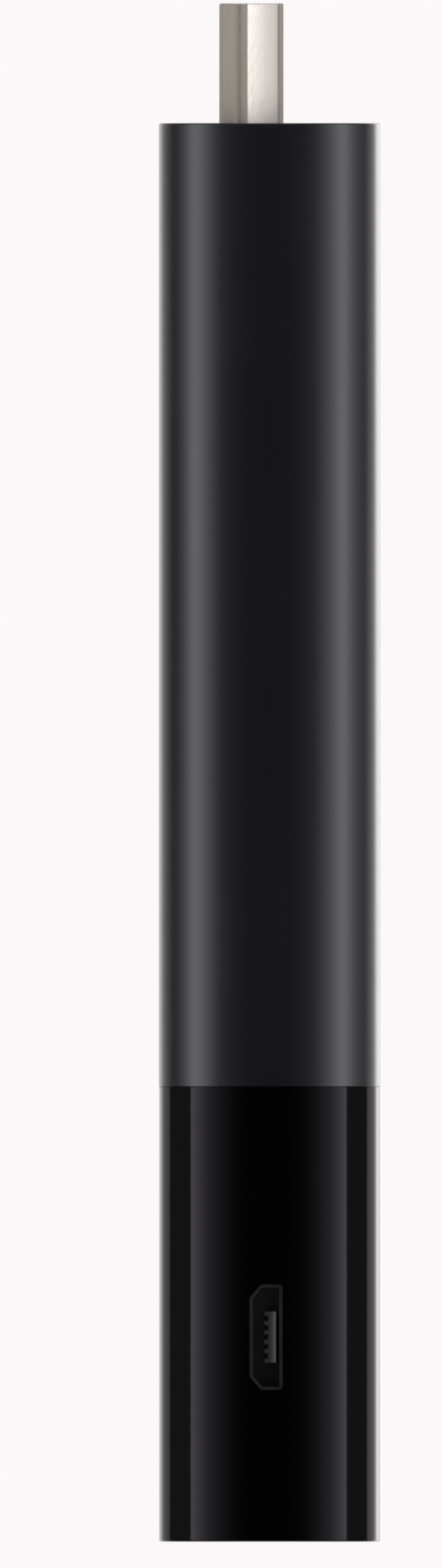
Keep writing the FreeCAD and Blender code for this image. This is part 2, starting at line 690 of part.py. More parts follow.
def front_heat_plate():
    x = (-CAVITY_WIDTH / 2, CAVITY_WIDTH / 2)
    plate = sink_room().common(block(x, (PLATE_OUTER, PLATE_INNER), (SINK_BOTTOM, SINK_TOP)))
    middle = (PLATE_INNER + PLATE_OUTER) / 2
    posts = [rod(BOSS_RADIUS, (x, middle, z), (x, BOARD_FRONT, z)) for x, z in BOSS_PLACES]
    plate = fused([plate] + posts)
    cuts = []
    seat = PLATE_OUTER + COUNTERBORE_DEPTH
    for x, z in BOSS_PLACES:
        cuts.append(rod(SCREW_HEAD_RADIUS + FIT_GAP, (x, PLATE_OUTER, z), (x, seat, z)))
        cuts.append(rod(SCREW_RADIUS + SCREW_HOLE_GAP, (x, PLATE_OUTER, z), (x, BOARD_FRONT, z)))
    return plate.cut(cuts)


def board_screw(x, z):
    """A small cap screw, driven from the front and biting in the heatsink's post."""
    seat = PLATE_OUTER + COUNTERBORE_DEPTH
    top = seat - SCREW_HEAD_HEIGHT
    head = rod(SCREW_HEAD_RADIUS, (x, top, z), (x, seat, z))
    shank = rod(SCREW_RADIUS, (x, top + SCREW_HEAD_HEIGHT / 2, z), (x, BOARD_BACK + SCREW_BITE, z))
    return fused([head, shank])


def board_screws():
    return Part.makeCompound([board_screw(x, z) for x, z in BOSS_PLACES])


# Shielding cans, chips and thermal pads


def can_fence(width, length, base, top):
    """A soldered fence about the middle of the heat plates, flanged inwards at the top."""
    flange = (top - CAN_SHEET, top) if top > base else (top, top + CAN_SHEET)
    y = span(base, top)
    inner = (width - 2 * CAN_SHEET, length - 2 * CAN_SHEET)
    opening = (width - 2 * CAN_FLANGE, length - 2 * CAN_FLANGE)
    outer = block(centred(0, width), y, centred(CAN_CENTRE, length))
    hollow = block(centred(0, inner[0]), y, centred(CAN_CENTRE, inner[1]))
    ring = block(centred(0, width), flange, centred(CAN_CENTRE, length))
    window = block(centred(0, opening[0]), flange, centred(CAN_CENTRE, opening[1]))
    return fused([outer.cut(hollow), ring.cut(window)])


def can_lid(width, length, inner_face, outer_face):
    """A snap-on lid: a flat top and a skirt that hugs the fence."""
    toward_board = -1 if outer_face > inner_face else 1
    skirt_end = inner_face + toward_board * CAN_SKIRT
    outer = (width + 2 * (CAN_SHEET + CAN_GAP), length + 2 * (CAN_SHEET + CAN_GAP))
    inner = (width + 2 * CAN_GAP, length + 2 * CAN_GAP)
    y = span(skirt_end, outer_face)
    body = rounded_block(centred(0, outer[0]), y, centred(CAN_CENTRE, outer[1]), CAN_CORNER)
    hollow = block(centred(0, inner[0]), span(skirt_end, inner_face), centred(CAN_CENTRE, inner[1]))
    return body.cut(hollow)


def rear_can_fence():
    return can_fence(REAR_CAN_WIDTH, REAR_CAN_LENGTH, BOARD_BACK, REAR_LID_INNER)


def rear_can_lid():
    return can_lid(REAR_CAN_WIDTH, REAR_CAN_LENGTH, REAR_LID_INNER, REAR_LID_OUTER)


def front_can_fence():
    return can_fence(FRONT_CAN_WIDTH, FRONT_CAN_LENGTH, BOARD_FRONT, FRONT_LID_INNER)


def front_can_lid():
    return can_lid(FRONT_CAN_WIDTH, FRONT_CAN_LENGTH, FRONT_LID_INNER, FRONT_LID_OUTER)


def processor_square(side, low, high):
    """A square layer of the processor, at the upper end of the rear can."""
    z = CAN_CENTRE + REAR_CAN_LENGTH / 2 - CAN_MARGIN - PROCESSOR_SIDE / 2
    return block(centred(0, side), (low, high), centred(z, side))


def processor_substrate():
    return processor_square(PROCESSOR_SIDE, BOARD_BACK, BOARD_BACK + PROCESSOR_SUBSTRATE)


def processor_mould():
    side = PROCESSOR_SIDE - PROCESSOR_MARGIN
    return processor_square(side, BOARD_BACK + PROCESSOR_SUBSTRATE, PROCESSOR_TOP)


def processor_pad():
    side = PROCESSOR_SIDE - 2 * PROCESSOR_MARGIN
    return processor_square(side, PROCESSOR_TOP, REAR_LID_INNER)


def memory_chips():
    size = (MEMORY_WIDTH, MEMORY_HEIGHT, MEMORY_LENGTH)
    x = (MEMORY_WIDTH + CHIP_SPACING) / 2
    z = CAN_CENTRE - REAR_CAN_LENGTH / 2 + CAN_MARGIN + MEMORY_LENGTH / 2
    return Part.makeCompound([on_board(size, side * x, z) for side in (-1, 1)])


def flash_chip():
    return on_board((FLASH_WIDTH, FLASH_HEIGHT, FLASH_LENGTH), 0, CAN_CENTRE, front=True)


def flash_pad():
    width = FLASH_WIDTH - PAD_MARGIN
    length = FLASH_LENGTH - PAD_MARGIN
    return block(centred(0, width), (FRONT_LID_INNER, FLASH_TOP), centred(CAN_CENTRE, length))


def rear_pad():
    width = REAR_CAN_WIDTH - 2 * PAD_MARGIN
    length = REAR_CAN_LENGTH - 2 * PAD_MARGIN
    return block(centred(0, width), (REAR_LID_OUTER, SINK_INNER), centred(CAN_CENTRE, length))


def front_pad():
    width = FRONT_CAN_WIDTH - 2 * PAD_MARGIN
    length = FRONT_CAN_LENGTH - 2 * PAD_MARGIN
    return block(centred(0, width), (PLATE_INNER, FRONT_LID_OUTER), centred(CAN_CENTRE, length))


# Radio


def radio_z():
    """The radio module's middle, measured from the seam between cap and sleeve."""
    return CAP_LENGTH + RADIO_ABOVE_CAP_SEAM


def radio_board():
    return on_board((RADIO_SIDE, RADIO_BOARD, RADIO_SIDE), RADIO_X, radio_z())


def radio_can():
    side = RADIO_SIDE - 2 * CAN_SHEET
    base = BOARD_BACK + RADIO_BOARD
    top = base + RADIO_CAN_HEIGHT
    outer = rounded_block(centred(RADIO_X, side), (base, top), centred(radio_z(), side), CAN_CORNER)
    hollow_side = side - 2 * CAN_SHEET
    hollow_y = (base, top - CAN_SHEET)
    hollow = block(centred(RADIO_X, hollow_side), hollow_y, centred(radio_z(), hollow_side))
    return outer.cut(hollow)


def antenna(start, along_x):
    """A stamped bridge: a raised strip with a foot at one end and a feed leg part way along."""
    top = BOARD_BACK + ANTENNA_HEIGHT
    strip = (top - ANTENNA_SHEET, top)
    feed = (ANTENNA_LENGTH / 3, ANTENNA_LENGTH / 3 + ANTENNA_SHEET)
    spans = [
        ((0, ANTENNA_LENGTH), strip, ANTENNA_WIDTH),
        ((0, ANTENNA_SHEET), (BOARD_BACK, top), ANTENNA_WIDTH),
        (feed, (BOARD_BACK, top), ANTENNA_LEG),
    ]
    pieces = []
    for run, y, width in spans:
        long_side = (start[0] + run[0], start[0] + run[1])
        short_side = centred(start[1], width)
        pieces.append(block(long_side, y, short_side) if along_x else block(short_side, y, long_side))
    return fused(pieces)


def antenna_inset():
    """From the board's edge to an antenna's middle, clear of the ribs that grip the board."""
    return GUIDE_GRIP + ANTENNA_GAP + ANTENNA_WIDTH / 2


def side_antenna():
    start = radio_z() - RADIO_SIDE / 2 - ANTENNA_TO_RADIO - ANTENNA_LENGTH
    return antenna((start, antenna_inset() - BOARD_WIDTH / 2), along_x=False)


def end_antenna():
    return antenna((-ANTENNA_LENGTH / 2, BOARD_BOTTOM + antenna_inset()), along_x=True)


# Small components


def status_light():
    return on_board(LIGHT_BODY, 0, LIGHT_HEIGHT, front=True)


def power_inductors():
    """The first of three rows above the light, on the board's front."""
    y = (BOARD_FRONT - INDUCTOR[1], BOARD_FRONT)
    z = (POWER_Z, POWER_Z + INDUCTOR[2])
    places = row(INDUCTORS, INDUCTOR[0] + POWER_GAP)
    return Part.makeCompound(
        [rounded_block(centred(x, INDUCTOR[0]), y, z, INDUCTOR_CORNER) for x in places]
    )


def power_regulators():
    """The last of the three rows, past the capacitors."""
    z = FRONT_CAPACITOR_Z + CAPACITOR[2] / 2 + ROW_GAP + REGULATOR[2] / 2
    places = row(REGULATORS, REGULATOR[0] + POWER_GAP)
    return Part.makeCompound([on_board(REGULATOR, x, z, front=True) for x in places])


def input_fuse():
    return on_board(FUSE, PORT_REAR - BEHIND_PORT - FUSE[0] / 2, PORT_HEIGHT, front=True)


def clock_crystal():
    x = RADIO_EDGE + 2 * PART_GAP
    y = (BOARD_BACK, BOARD_BACK + CRYSTAL[1])
    return rounded_block((x, x + CRYSTAL[0]), y, centred(radio_z(), CRYSTAL[2]), CRYSTAL_CORNER)


def surge_arrays():
    z = BOARD_TOP - CONTACT_TAIL - ROW_GAP - SURGE_ARRAY[2] / 2
    places = row(SURGE_ARRAYS, SURGE_ARRAY[0] + SURGE_GAP)
    return Part.makeCompound([on_board(SURGE_ARRAY, x, z) for x in places])


def capacitor(x, z, front):
    """A ceramic chip capacitor, its two metal ends a little proud of its body."""
    waist = (CAPACITOR[0] - CAPACITOR_WAIST, CAPACITOR[1] - CAPACITOR_WAIST, CAPACITOR[2])
    pieces = [on_board(waist, x, z, front)]
    for side in (-1, 1):
        end = z + side * (CAPACITOR[2] - CAPACITOR_END) / 2
        pieces.append(on_board((CAPACITOR[0], CAPACITOR[1], CAPACITOR_END), x, end, front))
    return fused(pieces)


def ceramic_capacitors():
    """A row beside the radio module, above the crystal, and one across the front."""
    pitch = CAPACITOR[0] + PART_GAP
    rear_x = RADIO_EDGE + 2 * PART_GAP + CAPACITOR[0] / 2
    rear_z = radio_z() + CRYSTAL[2] / 2 + PART_GAP + CAPACITOR[2] / 2
    rear = [capacitor(rear_x + i * pitch, rear_z, front=False) for i in range(REAR_CAPACITORS)]
    front = [capacitor(x, FRONT_CAPACITOR_Z, front=True) for x in row(FRONT_CAPACITORS, 2 * pitch)]
    return Part.makeCompound(rear + front)


def chip_resistors():
    """Two short rows behind the power port, either side of its contacts."""
    first = PORT_REAR - BEHIND_PORT - RESISTOR[0] / 2
    pitch = RESISTOR[0] + PART_GAP
    places = [
        (first - i * pitch, PORT_HEIGHT + side * RESISTOR_ROWS_APART / 2)
        for side in (-1, 1)
        for i in range(RESISTORS_PER_ROW)
    ]
    return Part.makeCompound([on_board(RESISTOR, x, z) for x, z in places])


PIECES = {
    "main_sleeve": main_sleeve,
    "end_cap": end_cap,
    "light_guide": light_guide,
    "plug_shell": plug_shell,
    "plug_insulator": plug_insulator,
    "plug_wide_row_contacts": plug_wide_row_contacts,
    "plug_narrow_row_contacts": plug_narrow_row_contacts,
    "port_shell": port_shell,
    "port_insulator": port_insulator,
    "port_contacts": port_contacts,
    "main_board": main_board,
    "rear_heatsink": rear_heatsink,
    "front_heat_plate": front_heat_plate,
    "board_screws": board_screws,
    "rear_can_fence": rear_can_fence,
    "rear_can_lid": rear_can_lid,
    "front_can_fence": front_can_fence,
    "front_can_lid": front_can_lid,
    "processor_substrate": processor_substrate,
    "processor_mould": processor_mould,
    "processor_pad": processor_pad,
    "memory_chips": memory_chips,
    "flash_chip": flash_chip,
    "flash_pad": flash_pad,
    "rear_pad": rear_pad,
    "front_pad": front_pad,
    "radio_board": radio_board,
    "radio_can": radio_can,
    "side_antenna": side_antenna,
    "end_antenna": end_antenna,
    "status_light": status_light,
    "power_regulators": power_regulators,
    "power_inductors": power_inductors,
    "input_fuse": input_fuse,
    "clock_crystal": clock_crystal,
    "surge_arrays": surge_arrays,
    "ceramic_capacitors": ceramic_capacitors,
    "chip_resistors": chip_resistors,
}


def main():
    os.makedirs("parts", exist_ok=True)
    for name, make in PIECES.items():
        shape = make()
        shape.exportStep(f"parts/{name}.step")
        print(f"{name}: {len(shape.Solids)} solids, {shape.Volume:.2f} mm3, valid {shape.isValid()}")


main()
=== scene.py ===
import math

import bmesh
import bpy
from bpy.props import FloatProperty, FloatVectorProperty, IntProperty, PointerProperty
from mathutils import Matrix, Vector


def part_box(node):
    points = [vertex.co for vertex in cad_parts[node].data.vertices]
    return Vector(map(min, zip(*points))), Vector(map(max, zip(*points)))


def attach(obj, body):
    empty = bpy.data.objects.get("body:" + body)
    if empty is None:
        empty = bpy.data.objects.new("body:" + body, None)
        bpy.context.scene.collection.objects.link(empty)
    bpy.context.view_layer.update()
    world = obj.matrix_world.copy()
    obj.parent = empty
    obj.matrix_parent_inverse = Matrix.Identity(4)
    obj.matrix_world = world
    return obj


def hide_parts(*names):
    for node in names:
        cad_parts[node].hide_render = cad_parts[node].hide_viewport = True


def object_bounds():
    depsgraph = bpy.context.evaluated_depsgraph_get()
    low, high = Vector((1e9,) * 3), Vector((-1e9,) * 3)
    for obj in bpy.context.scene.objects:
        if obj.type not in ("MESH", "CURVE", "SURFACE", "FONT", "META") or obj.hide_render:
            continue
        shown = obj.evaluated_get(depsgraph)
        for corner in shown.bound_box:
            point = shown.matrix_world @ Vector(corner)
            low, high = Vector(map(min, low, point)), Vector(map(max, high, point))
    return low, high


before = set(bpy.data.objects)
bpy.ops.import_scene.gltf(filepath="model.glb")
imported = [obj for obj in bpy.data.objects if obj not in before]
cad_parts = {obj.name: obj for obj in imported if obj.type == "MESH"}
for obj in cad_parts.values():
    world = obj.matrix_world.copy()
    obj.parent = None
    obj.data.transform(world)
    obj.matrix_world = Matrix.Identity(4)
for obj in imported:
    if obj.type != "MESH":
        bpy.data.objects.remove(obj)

bl_info = {
    "name": "Streaming Stick",
    "version": (1, 0, 0),
    "blender": (4, 5, 0),
    "location": "3D View > Sidebar > Stick",
    "description": "Builds the looks of a streaming stick round its packed frame",
    "category": "Object",
}

MM, MICRON = 1e-3, 1e-6
UP, BACK = (0.0, 0.0, 1.0), (0.0, 1.0, 0.0)
BODY = "root"

# Boxes of the CAD model and of the nodes that the new pieces are fitted to
CAD_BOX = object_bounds()
PLUG_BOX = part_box("plug_shell")
PORT_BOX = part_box("port_shell")
SLEEVE_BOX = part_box("main_sleeve")
CAP_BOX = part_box("end_cap")
GUIDE_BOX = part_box("light_guide")
PORT_MIDDLE = (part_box("port_contacts")[0].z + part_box("port_contacts")[1].z) / 2

# End of the port's tongue, and its back, which the shell's sheet and a gap keep from the outside
TONGUE_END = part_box("port_insulator")[1].x
TONGUE_BACK = PORT_BOX[1].y - 0.5 * MM

# How far loops that lie in one plane are moved apart while they are bridged, and when places are the same
APART, ASIDE = 50 * MM, 20 * MM
CLOSE = 1e-7

# Rounding of CAD nodes: the insulators and contacts, and the light guide
TRIM_RADIUS, GUIDE_RADIUS = 0.03 * MM, 0.04 * MM


# Settings that a user would change


def number(name, description, default, **more):
    """A plain number."""
    return FloatProperty(name=name, description=description, default=default, **more)


def length(name, description, default):
    """A size in metres, shown in the scene's own unit."""
    return number(name, description, default, min=0, unit="LENGTH", precision=6)


def share(name, description, default):
    """A number from none to all."""
    return number(name, description, default, min=0, max=1, subtype="FACTOR")


def tint(name, description, default):
    """A linear colour."""
    return FloatVectorProperty(
        name=name, description=description, default=default, size=3, min=0, max=1, subtype="COLOR"
    )


class StickHousingSettings(bpy.types.PropertyGroup):
    half_depth: length("Half depth", "Radius of the full round narrow sides", SLEEVE_BOX[1].y)
    half_flat: length("Half flat", "Half the width of the flat face", SLEEVE_BOX[1].x - SLEEVE_BOX[1].y)
    wall: length("Wall", "Thickness of the moulded wall", 1.5 * MM)
    top_wall: length("Top wall", "Thickness of the wall round the plug", 1.8 * MM)
    floor: length("Floor", "Thickness of the cap's closed end", 1.6 * MM)
    edge_radius: length("Edge radius", "Rounding of the two end rims", 0.12 * MM)
    seam_radius: length("Seam radius", "Rounding of both rims at the seam", 0.05 * MM)
    spigot_wall: length("Spigot wall", "Thickness of the sleeve's spigot", 1.0 * MM)
    spigot_root: length("Spigot root", "How far above the seam the spigot's bore ends", 2.0 * MM)
    fit_gap: length("Fit gap", "Gap between parts that slide together", 0.1 * MM)
    light_hole: length("Light hole", "Radius of the cap's hole for the light guide", 0.65 * MM)
    segments: IntProperty(
        name="Segments", description="Faces round the outline", default=256, min=32, max=512
    )


class StickPlugSettings(bpy.types.PropertyGroup):
    width: length("Width", "Width of the wide side", 13.9 * MM)
    height: length("Height", "Thickness of the plug", 4.45 * MM)
    side_height: length("Side height", "Height of the full-width side", 2.58 * MM)
    step_in: length("Step in", "How far the lower part steps in", 1.2 * MM)
    step_height: length("Step height", "Height of the sloping step", 0.75 * MM)
    taper: length("Taper", "Lean of the lower part's side", 0.45 * MM)
    corner: length("Corner radius", "Outer radius of the four square corners", 0.45 * MM)
    bend: length("Bend radius", "Radius of the bend in the step's foot", 0.4 * MM)
    shoulder: length("Shoulder radius", "Radius of the step's shoulder", 0.22 * MM)
    sheet: length("Sheet", "Thickness of the steel sheet", 0.3 * MM)
    lead_in: length("Lead in", "Rounding of the mouth's outer rim", 0.07 * MM)
    crown: length("Crown", "Bulge of the full-width side", 0.06 * MM)
    seam: length("Seam", "Width of the butt seam", 0.06 * MM)
    latch_width: length("Latch width", "Width of a latch window", 2.0 * MM)
    latch_length: length("Latch length", "Length of a latch window", 1.7 * MM)
    latch_spacing: length("Latch spacing", "Distance between latch windows", 6.4 * MM)
    latch_from_tip: length("Latch from tip", "From the mouth to a latch window", 4.7 * MM)
    leg_width: length("Leg width", "Width of a leg into the board", 1.4 * MM)
    leg_length: length("Leg length", "Length of a leg into the board", 2.8 * MM)


class StickPortSettings(bpy.types.PropertyGroup):
    opening: length("Length", "Length of the port's shell", 7.4 * MM)
    thickness: length("Thickness", "Thickness of the port's shell", 2.35 * MM)
    bevel_length: length("Bevel length", "Length of the bevelled corner", 0.94 * MM)
    bevel_depth: length("Bevel depth", "Depth of the bevelled corner", 0.77 * MM)
    corner: length("Corner radius", "Outer radius of the shell's corners", 0.3 * MM)
    sheet: length("Sheet", "Thickness of the steel sheet", 0.25 * MM)
    gap: length("Gap", "Gap between the shell and the cap", 0.08 * MM)
    mouth_radius: length("Mouth radius", "Rounding of the shell's mouth", 0.035 * MM)
    rim_radius: length("Rim radius", "Rounding of the cap's rim at the port", 0.05 * MM)


class StickFinishSettings(bpy.types.PropertyGroup):
    sleeve: tint("Sleeve", "Colour of the matt sleeve", (0.0054, 0.0054, 0.0074))
    sleeve_roughness: share("Sleeve roughness", "Roughness of the matt sleeve", 0.25)
    cap: tint("Cap", "Colour of the gloss cap", (0.0003, 0.00025, 0.00035))
    cap_roughness: share("Cap roughness", "Roughness of the gloss cap", 0.07)
    plug: tint("Plug", "Colour of the plug's plating", (0.64, 0.59, 0.545))
    plug_roughness: share("Plug roughness", "Roughness of the plug's plating", 0.3)
    port: tint("Port", "Colour of the port's dark plating", (0.50, 0.485, 0.50))
    port_plastic: tint("Port plastic", "Colour of the port's tongue", (0.042, 0.042, 0.0405))
    plug_plastic: tint("Plug plastic", "Colour of the plug's insulator", (0.012, 0.012, 0.013))
    gold: tint("Gold", "Colour of the contacts' plating", (0.83, 0.62, 0.30))
    board: tint("Board", "Colour of the solder mask", (0.008, 0.07, 0.03))
    aluminium: tint("Aluminium", "Colour of the heat plates", (0.76, 0.76, 0.77))


class StickStageSettings(bpy.types.PropertyGroup):
    backdrop: tint("Backdrop", "Colour of the world and floor as they are seen", (0.973, 0.939, 0.947))
    ambient: share("Ambient", "Strength of the world's soft light on the object", 0.45)
    tent_radius: length("Tent radius", "Radius of the screen that only reflections see", 0.6)
    edge_light: number("Screen light", "Scales the screen's levels", 1.0, min=0)
    view_height: length("View height", "Height of the picture", 108.88 * MM)
    view_side: number("View side", "Middle of the picture along Y", -3.376 * MM)
    view_middle: length("View middle", "Middle of the picture above the floor", 52.61 * MM)


# Small helpers for meshes


def ring_edges(verts):
    """The edges that join a set of vertices."""
    chosen = set(verts)
    return [e for v in verts for e in v.link_edges if e.verts[0] is v and e.verts[1] in chosen]


def edge_verts(edges):
    """The vertices that some edges join."""
    return list({v for e in edges for v in e.verts})


def sharp_edges(bm, angle, keep=lambda at: True):
    """Edges whose faces turn by more than an angle in degrees, and whose ends lie where keep says so."""
    sharp = [e for e in bm.edges if e.is_manifold and e.calc_face_angle(0) > math.radians(angle)]
    return [e for e in sharp if all(keep(v.co) for v in e.verts)]


def stadium_ring(bm, housing, inset, z):
    """A closed loop with full round narrow sides, moved in from the housing's outline, at one height."""
    turn = math.pi / housing.segments
    place = Matrix.Translation((0, 0, z)) @ Matrix.Rotation(turn, 4, "Z")
    radius = (housing.half_depth - inset) / math.cos(turn)
    ring = bmesh.ops.create_circle(bm, segments=housing.segments, radius=radius, matrix=place)["verts"]
    for side in (-1, 1):
        half = [v for v in ring if v.co.x * side > 0]
        bmesh.ops.translate(bm, verts=half, vec=(side * housing.half_flat, 0, 0))
    return ring_edges(ring)


def bridged(bm, rings):
    """Joins each loop of edges to the next."""
    for lower, upper in zip(rings, rings[1:]):
        bmesh.ops.bridge_loops(bm, edges=lower + upper)


def rounded(bm, edges, radius, segments):
    """Rounds edges to a radius."""
    bmesh.ops.bevel(
        bm, geom=edges, offset=radius, offset_type="OFFSET", segments=segments, profile=0.5,
        affect="EDGES", material=-1, clamp_overlap=True,
    )


def outline_face(bm, corners, place):
    """A flat face from (u, v, radius) corners, each rounded, laid in space by place."""
    verts = [bm.verts.new(place @ Vector((u, v, 0))) for u, v, _ in corners]
    face = bmesh.ops.contextual_create(bm, geom=verts)["faces"][0]
    count = len(corners)
    for i, (u, v, radius) in enumerate(corners):
        if not radius:
            continue
        here = Vector((u, v))
        back = Vector(corners[i - 1][:2]) - here
        on = Vector(corners[(i + 1) % count][:2]) - here
        reach = radius / math.tan(back.angle(on) / 2)
        rounding = bmesh.ops.bevel(
            bm, geom=[verts[i]], offset=reach, offset_type="OFFSET", segments=8, profile=0.5,
            affect="VERTICES", material=-1, clamp_overlap=False,
        )
        # Rounding makes the face anew
        face = rounding["verts"][0].link_faces[0]
    return face


def drawn_out(bm, faces, along):
    """Draws faces along a vector, keeps them too, and gives what is new."""
    drawn = bmesh.ops.extrude_face_region(bm, geom=faces, use_keep_orig=True)["geom"]
    moved = [g for g in drawn if isinstance(g, bmesh.types.BMVert)]
    bmesh.ops.translate(bm, verts=moved, vec=along)
    return drawn


def sheet_tube(bm, corners, sheet, place, along):
    """A sheet-metal tube: its outline and the same outline moved in by the sheet, drawn along a vector."""
    rims = []
    for outline in (corners, grown_corners(corners, -sheet)):
        start = outline_face(bm, outline, place)
        walls = [g for g in drawn_out(bm, [start], along) if isinstance(g, bmesh.types.BMFace)]
        end = next(f for f in walls if abs(start.normal.dot(f.normal)) > 0.99)
        rims.append((list(start.edges), list(end.edges)))
        bmesh.ops.delete(bm, geom=[start, end], context="FACES_ONLY")
    for outer, inner in zip(*rims):
        joined(bm, outer, inner, along)
    bmesh.ops.recalc_face_normals(bm, faces=bm.faces)


def joined(bm, outer, inner, along):
    """Bridges two loops in one plane: the inner one steps aside while it's done."""
    aside = Vector(along).normalized() * ASIDE
    verts = edge_verts(inner)
    bmesh.ops.translate(bm, verts=verts, vec=aside)
    bmesh.ops.bridge_loops(bm, edges=outer + inner)
    bmesh.ops.translate(bm, verts=verts, vec=-aside)


def sliced(bm, axis, places):
    """Cuts the mesh by planes across one axis, keeping both sides."""
    normal = Vector([float(i == axis) for i in range(3)])
    for place in places:
        geom = bm.verts[:] + bm.edges[:] + bm.faces[:]
        bmesh.ops.bisect_plane(bm, geom=geom, dist=CLOSE / 10, plane_co=normal * place, plane_no=normal)


def windowed(bm, low, high):
    """Opens a window through both skins of a sheet that faces along Y, between two corners, with a rim."""
    inside = [
        f for f in bm.faces
        if abs(f.normal.y) > 0.9 and all(low[i] < f.calc_center_median()[i] < high[i] for i in range(3))
    ]
    bmesh.ops.delete(bm, geom=inside, context="FACES")
    bare = [e for e in bm.edges if e.is_boundary]
    if bare:
        bmesh.ops.bridge_loops(bm, edges=bare)


def box_piece(bm, low, high):
    """A box between two corners, added to a mesh."""
    low, high = Vector(low), Vector(high)
    place = Matrix.Translation((low + high) / 2) @ Matrix.Diagonal((*(high - low), 1))
    bmesh.ops.create_cube(bm, size=1, matrix=place)


def linked(name, data):
    """A new object in the scene."""
    made = bpy.data.objects.new(name, data)
    bpy.context.scene.collection.objects.link(made)
    return made


def mesh_object(bm, name):
    """Ends a mesh and puts it in the scene as an object."""
    mesh = bpy.data.meshes.new(name)
    bm.to_mesh(mesh)
    bm.free()
    return linked(name, mesh)


def finished(bm, name, nodes, material):
    """Makes a piece of a mesh: it rides on the body and stands for its CAD nodes."""
    bmesh.ops.remove_doubles(bm, verts=bm.verts, dist=CLOSE)
    bmesh.ops.recalc_face_normals(bm, faces=bm.faces)
    for face in bm.faces:
        face.smooth = True
    for edge in bm.edges:
        edge.smooth = edge.is_manifold and edge.calc_face_angle(0) < math.radians(40)
    piece = mesh_object(bm, name)
    weighted = piece.modifiers.new("even_shading", "WEIGHTED_NORMAL")
    weighted.keep_sharp = True
    weighted.weight = 80
    piece.data.materials.append(material)
    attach(piece, BODY)
    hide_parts(*nodes)


def cut_by(piece, cutter):
    """Cuts one object out of another, removes both, and gives what is left as a mesh."""
    cut = piece.modifiers.new("cut", "BOOLEAN")
    cut.object = cutter
    cut.solver = "EXACT"
    bpy.context.view_layer.update()
    graph = bpy.context.evaluated_depsgraph_get()
    bm = bmesh.new()
    bm.from_object(piece, graph)
    for used in (piece, cutter):
        bpy.data.objects.remove(used)
    return bm


def plain_object(bm, name):
    """An object of a mesh that is no piece: an operand of a cut, the floor or the screen."""
    bmesh.ops.recalc_face_normals(bm, faces=bm.faces)
    return mesh_object(bm, name)


def softened(cad_node, name, material, radius):
    """A copy of a CAD node with its sharp edges rounded, which stands for that node."""
    bm = bmesh.new()
    bm.from_mesh(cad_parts[cad_node].data)
    bmesh.ops.remove_doubles(bm, verts=bm.verts, dist=CLOSE)
    bmesh.ops.dissolve_limit(bm, angle_limit=math.radians(1), verts=bm.verts, edges=bm.edges)
    rounded(bm, sharp_edges(bm, 30), radius, 2)
    finished(bm, name, [cad_node], material)


# Shared effects


def titled(key):
    """A socket's label from a keyword."""
    return key.replace("_", " ").title().replace("Ior", "IOR")


def effect(name, build, outputs, **inputs):
    """A shader node group, built once: a place, inputs with their usual values, and numbers as outputs."""
    tree = bpy.data.node_groups.get(name)
    if tree:
        return tree
    tree = bpy.data.node_groups.new(name, "ShaderNodeTree")
    sockets = tree.interface
    sockets.new_socket("Place", in_out="INPUT", socket_type="NodeSocketVector")
    for key, value in inputs.items():
        kind = "NodeSocketVector" if isinstance(value, tuple) else "NodeSocketFloat"
        sockets.new_socket(titled(key), in_out="INPUT", socket_type=kind).default_value = value
    for label in outputs:
        sockets.new_socket(label, in_out="OUTPUT", socket_type="NodeSocketFloat")
    source = tree.nodes.new("NodeGroupInput").outputs
    result = tree.nodes.new("NodeGroupOutput").inputs
    build(tree, source, result)
    return tree


def feed(tree, socket, value):
    """Links an output to a socket, or sets the socket's own value."""
    if isinstance(value, bpy.types.NodeSocket):
        tree.links.new(value, socket)
    elif value is not None:
        socket.default_value = value


def node(tree, kind, inputs=None, **settings):
    """Adds a node, with its settings and what feeds its inputs by name or index."""
    made = tree.nodes.new("ShaderNode" + kind)
    for key, value in settings.items():
        setattr(made, key, value)
    for key, value in (inputs or {}).items():
        feed(tree, made.inputs[key], value)
    return made


def math_node(tree, operation, first, second=None, third=None):
    """The result of one sum."""
    return node(tree, "Math", {0: first, 1: second, 2: third}, operation=operation).outputs[0]


def stretched(tree, vector, scale):
    """A vector scaled along each axis."""
    return node(tree, "Mapping", {"Vector": vector, "Scale": scale}).outputs[0]


def ramp(tree, value, low, high, to_low=0.0, to_high=1.0):
    """A clamped straight ramp from one stretch of values to another."""
    inputs = {"Value": value, "From Min": low, "From Max": high, "To Min": to_low, "To Max": to_high}
    return node(tree, "MapRange", inputs, clamp=True).outputs[0]


def noise(tree, place, scale, detail, roughness=0.5):
    """Soft noise from none to all."""
    inputs = {"Vector": place, "Scale": scale, "Detail": detail, "Roughness": roughness}
    return node(tree, "TexNoise", inputs).outputs[0]


def build_grain(tree, source, result):
    place, scale = source["Place"], source["Scale"]
    pits = node(tree, "TexVoronoi", {"Vector": place, "Scale": scale}, feature="SMOOTH_F1")
    fine = noise(tree, place, scale, 3.0)
    feed(tree, result["Height"], math_node(tree, "MULTIPLY_ADD", pits.outputs["Distance"], 0.6, fine))
    feed(tree, result["Cloud"], ramp(tree, noise(tree, place, source["Cloud Scale"], 4.0), 0.3, 0.7))


def grain_effect():
    """Fine spark-eroded texture, and soft clouds for slow changes of sheen."""
    return effect("moulded_grain", build_grain, ("Height", "Cloud"), scale=12000.0, cloud_scale=90.0)


def build_lines(tree, source, result):
    place = stretched(tree, source["Place"], source["Stretch"])
    fine = noise(tree, place, source["Scale"], 5.0, 0.65)
    feed(tree, result["Height"], fine)
    feed(tree, result["Mask"], ramp(tree, fine, 0.35, 0.65))


def lines_effect():
    """Drawing lines that rolling and stamping leave in a metal sheet."""
    return effect("drawing_lines", build_lines, ("Height", "Mask"), scale=9000.0, stretch=(1.0, 1.0, 0.02))


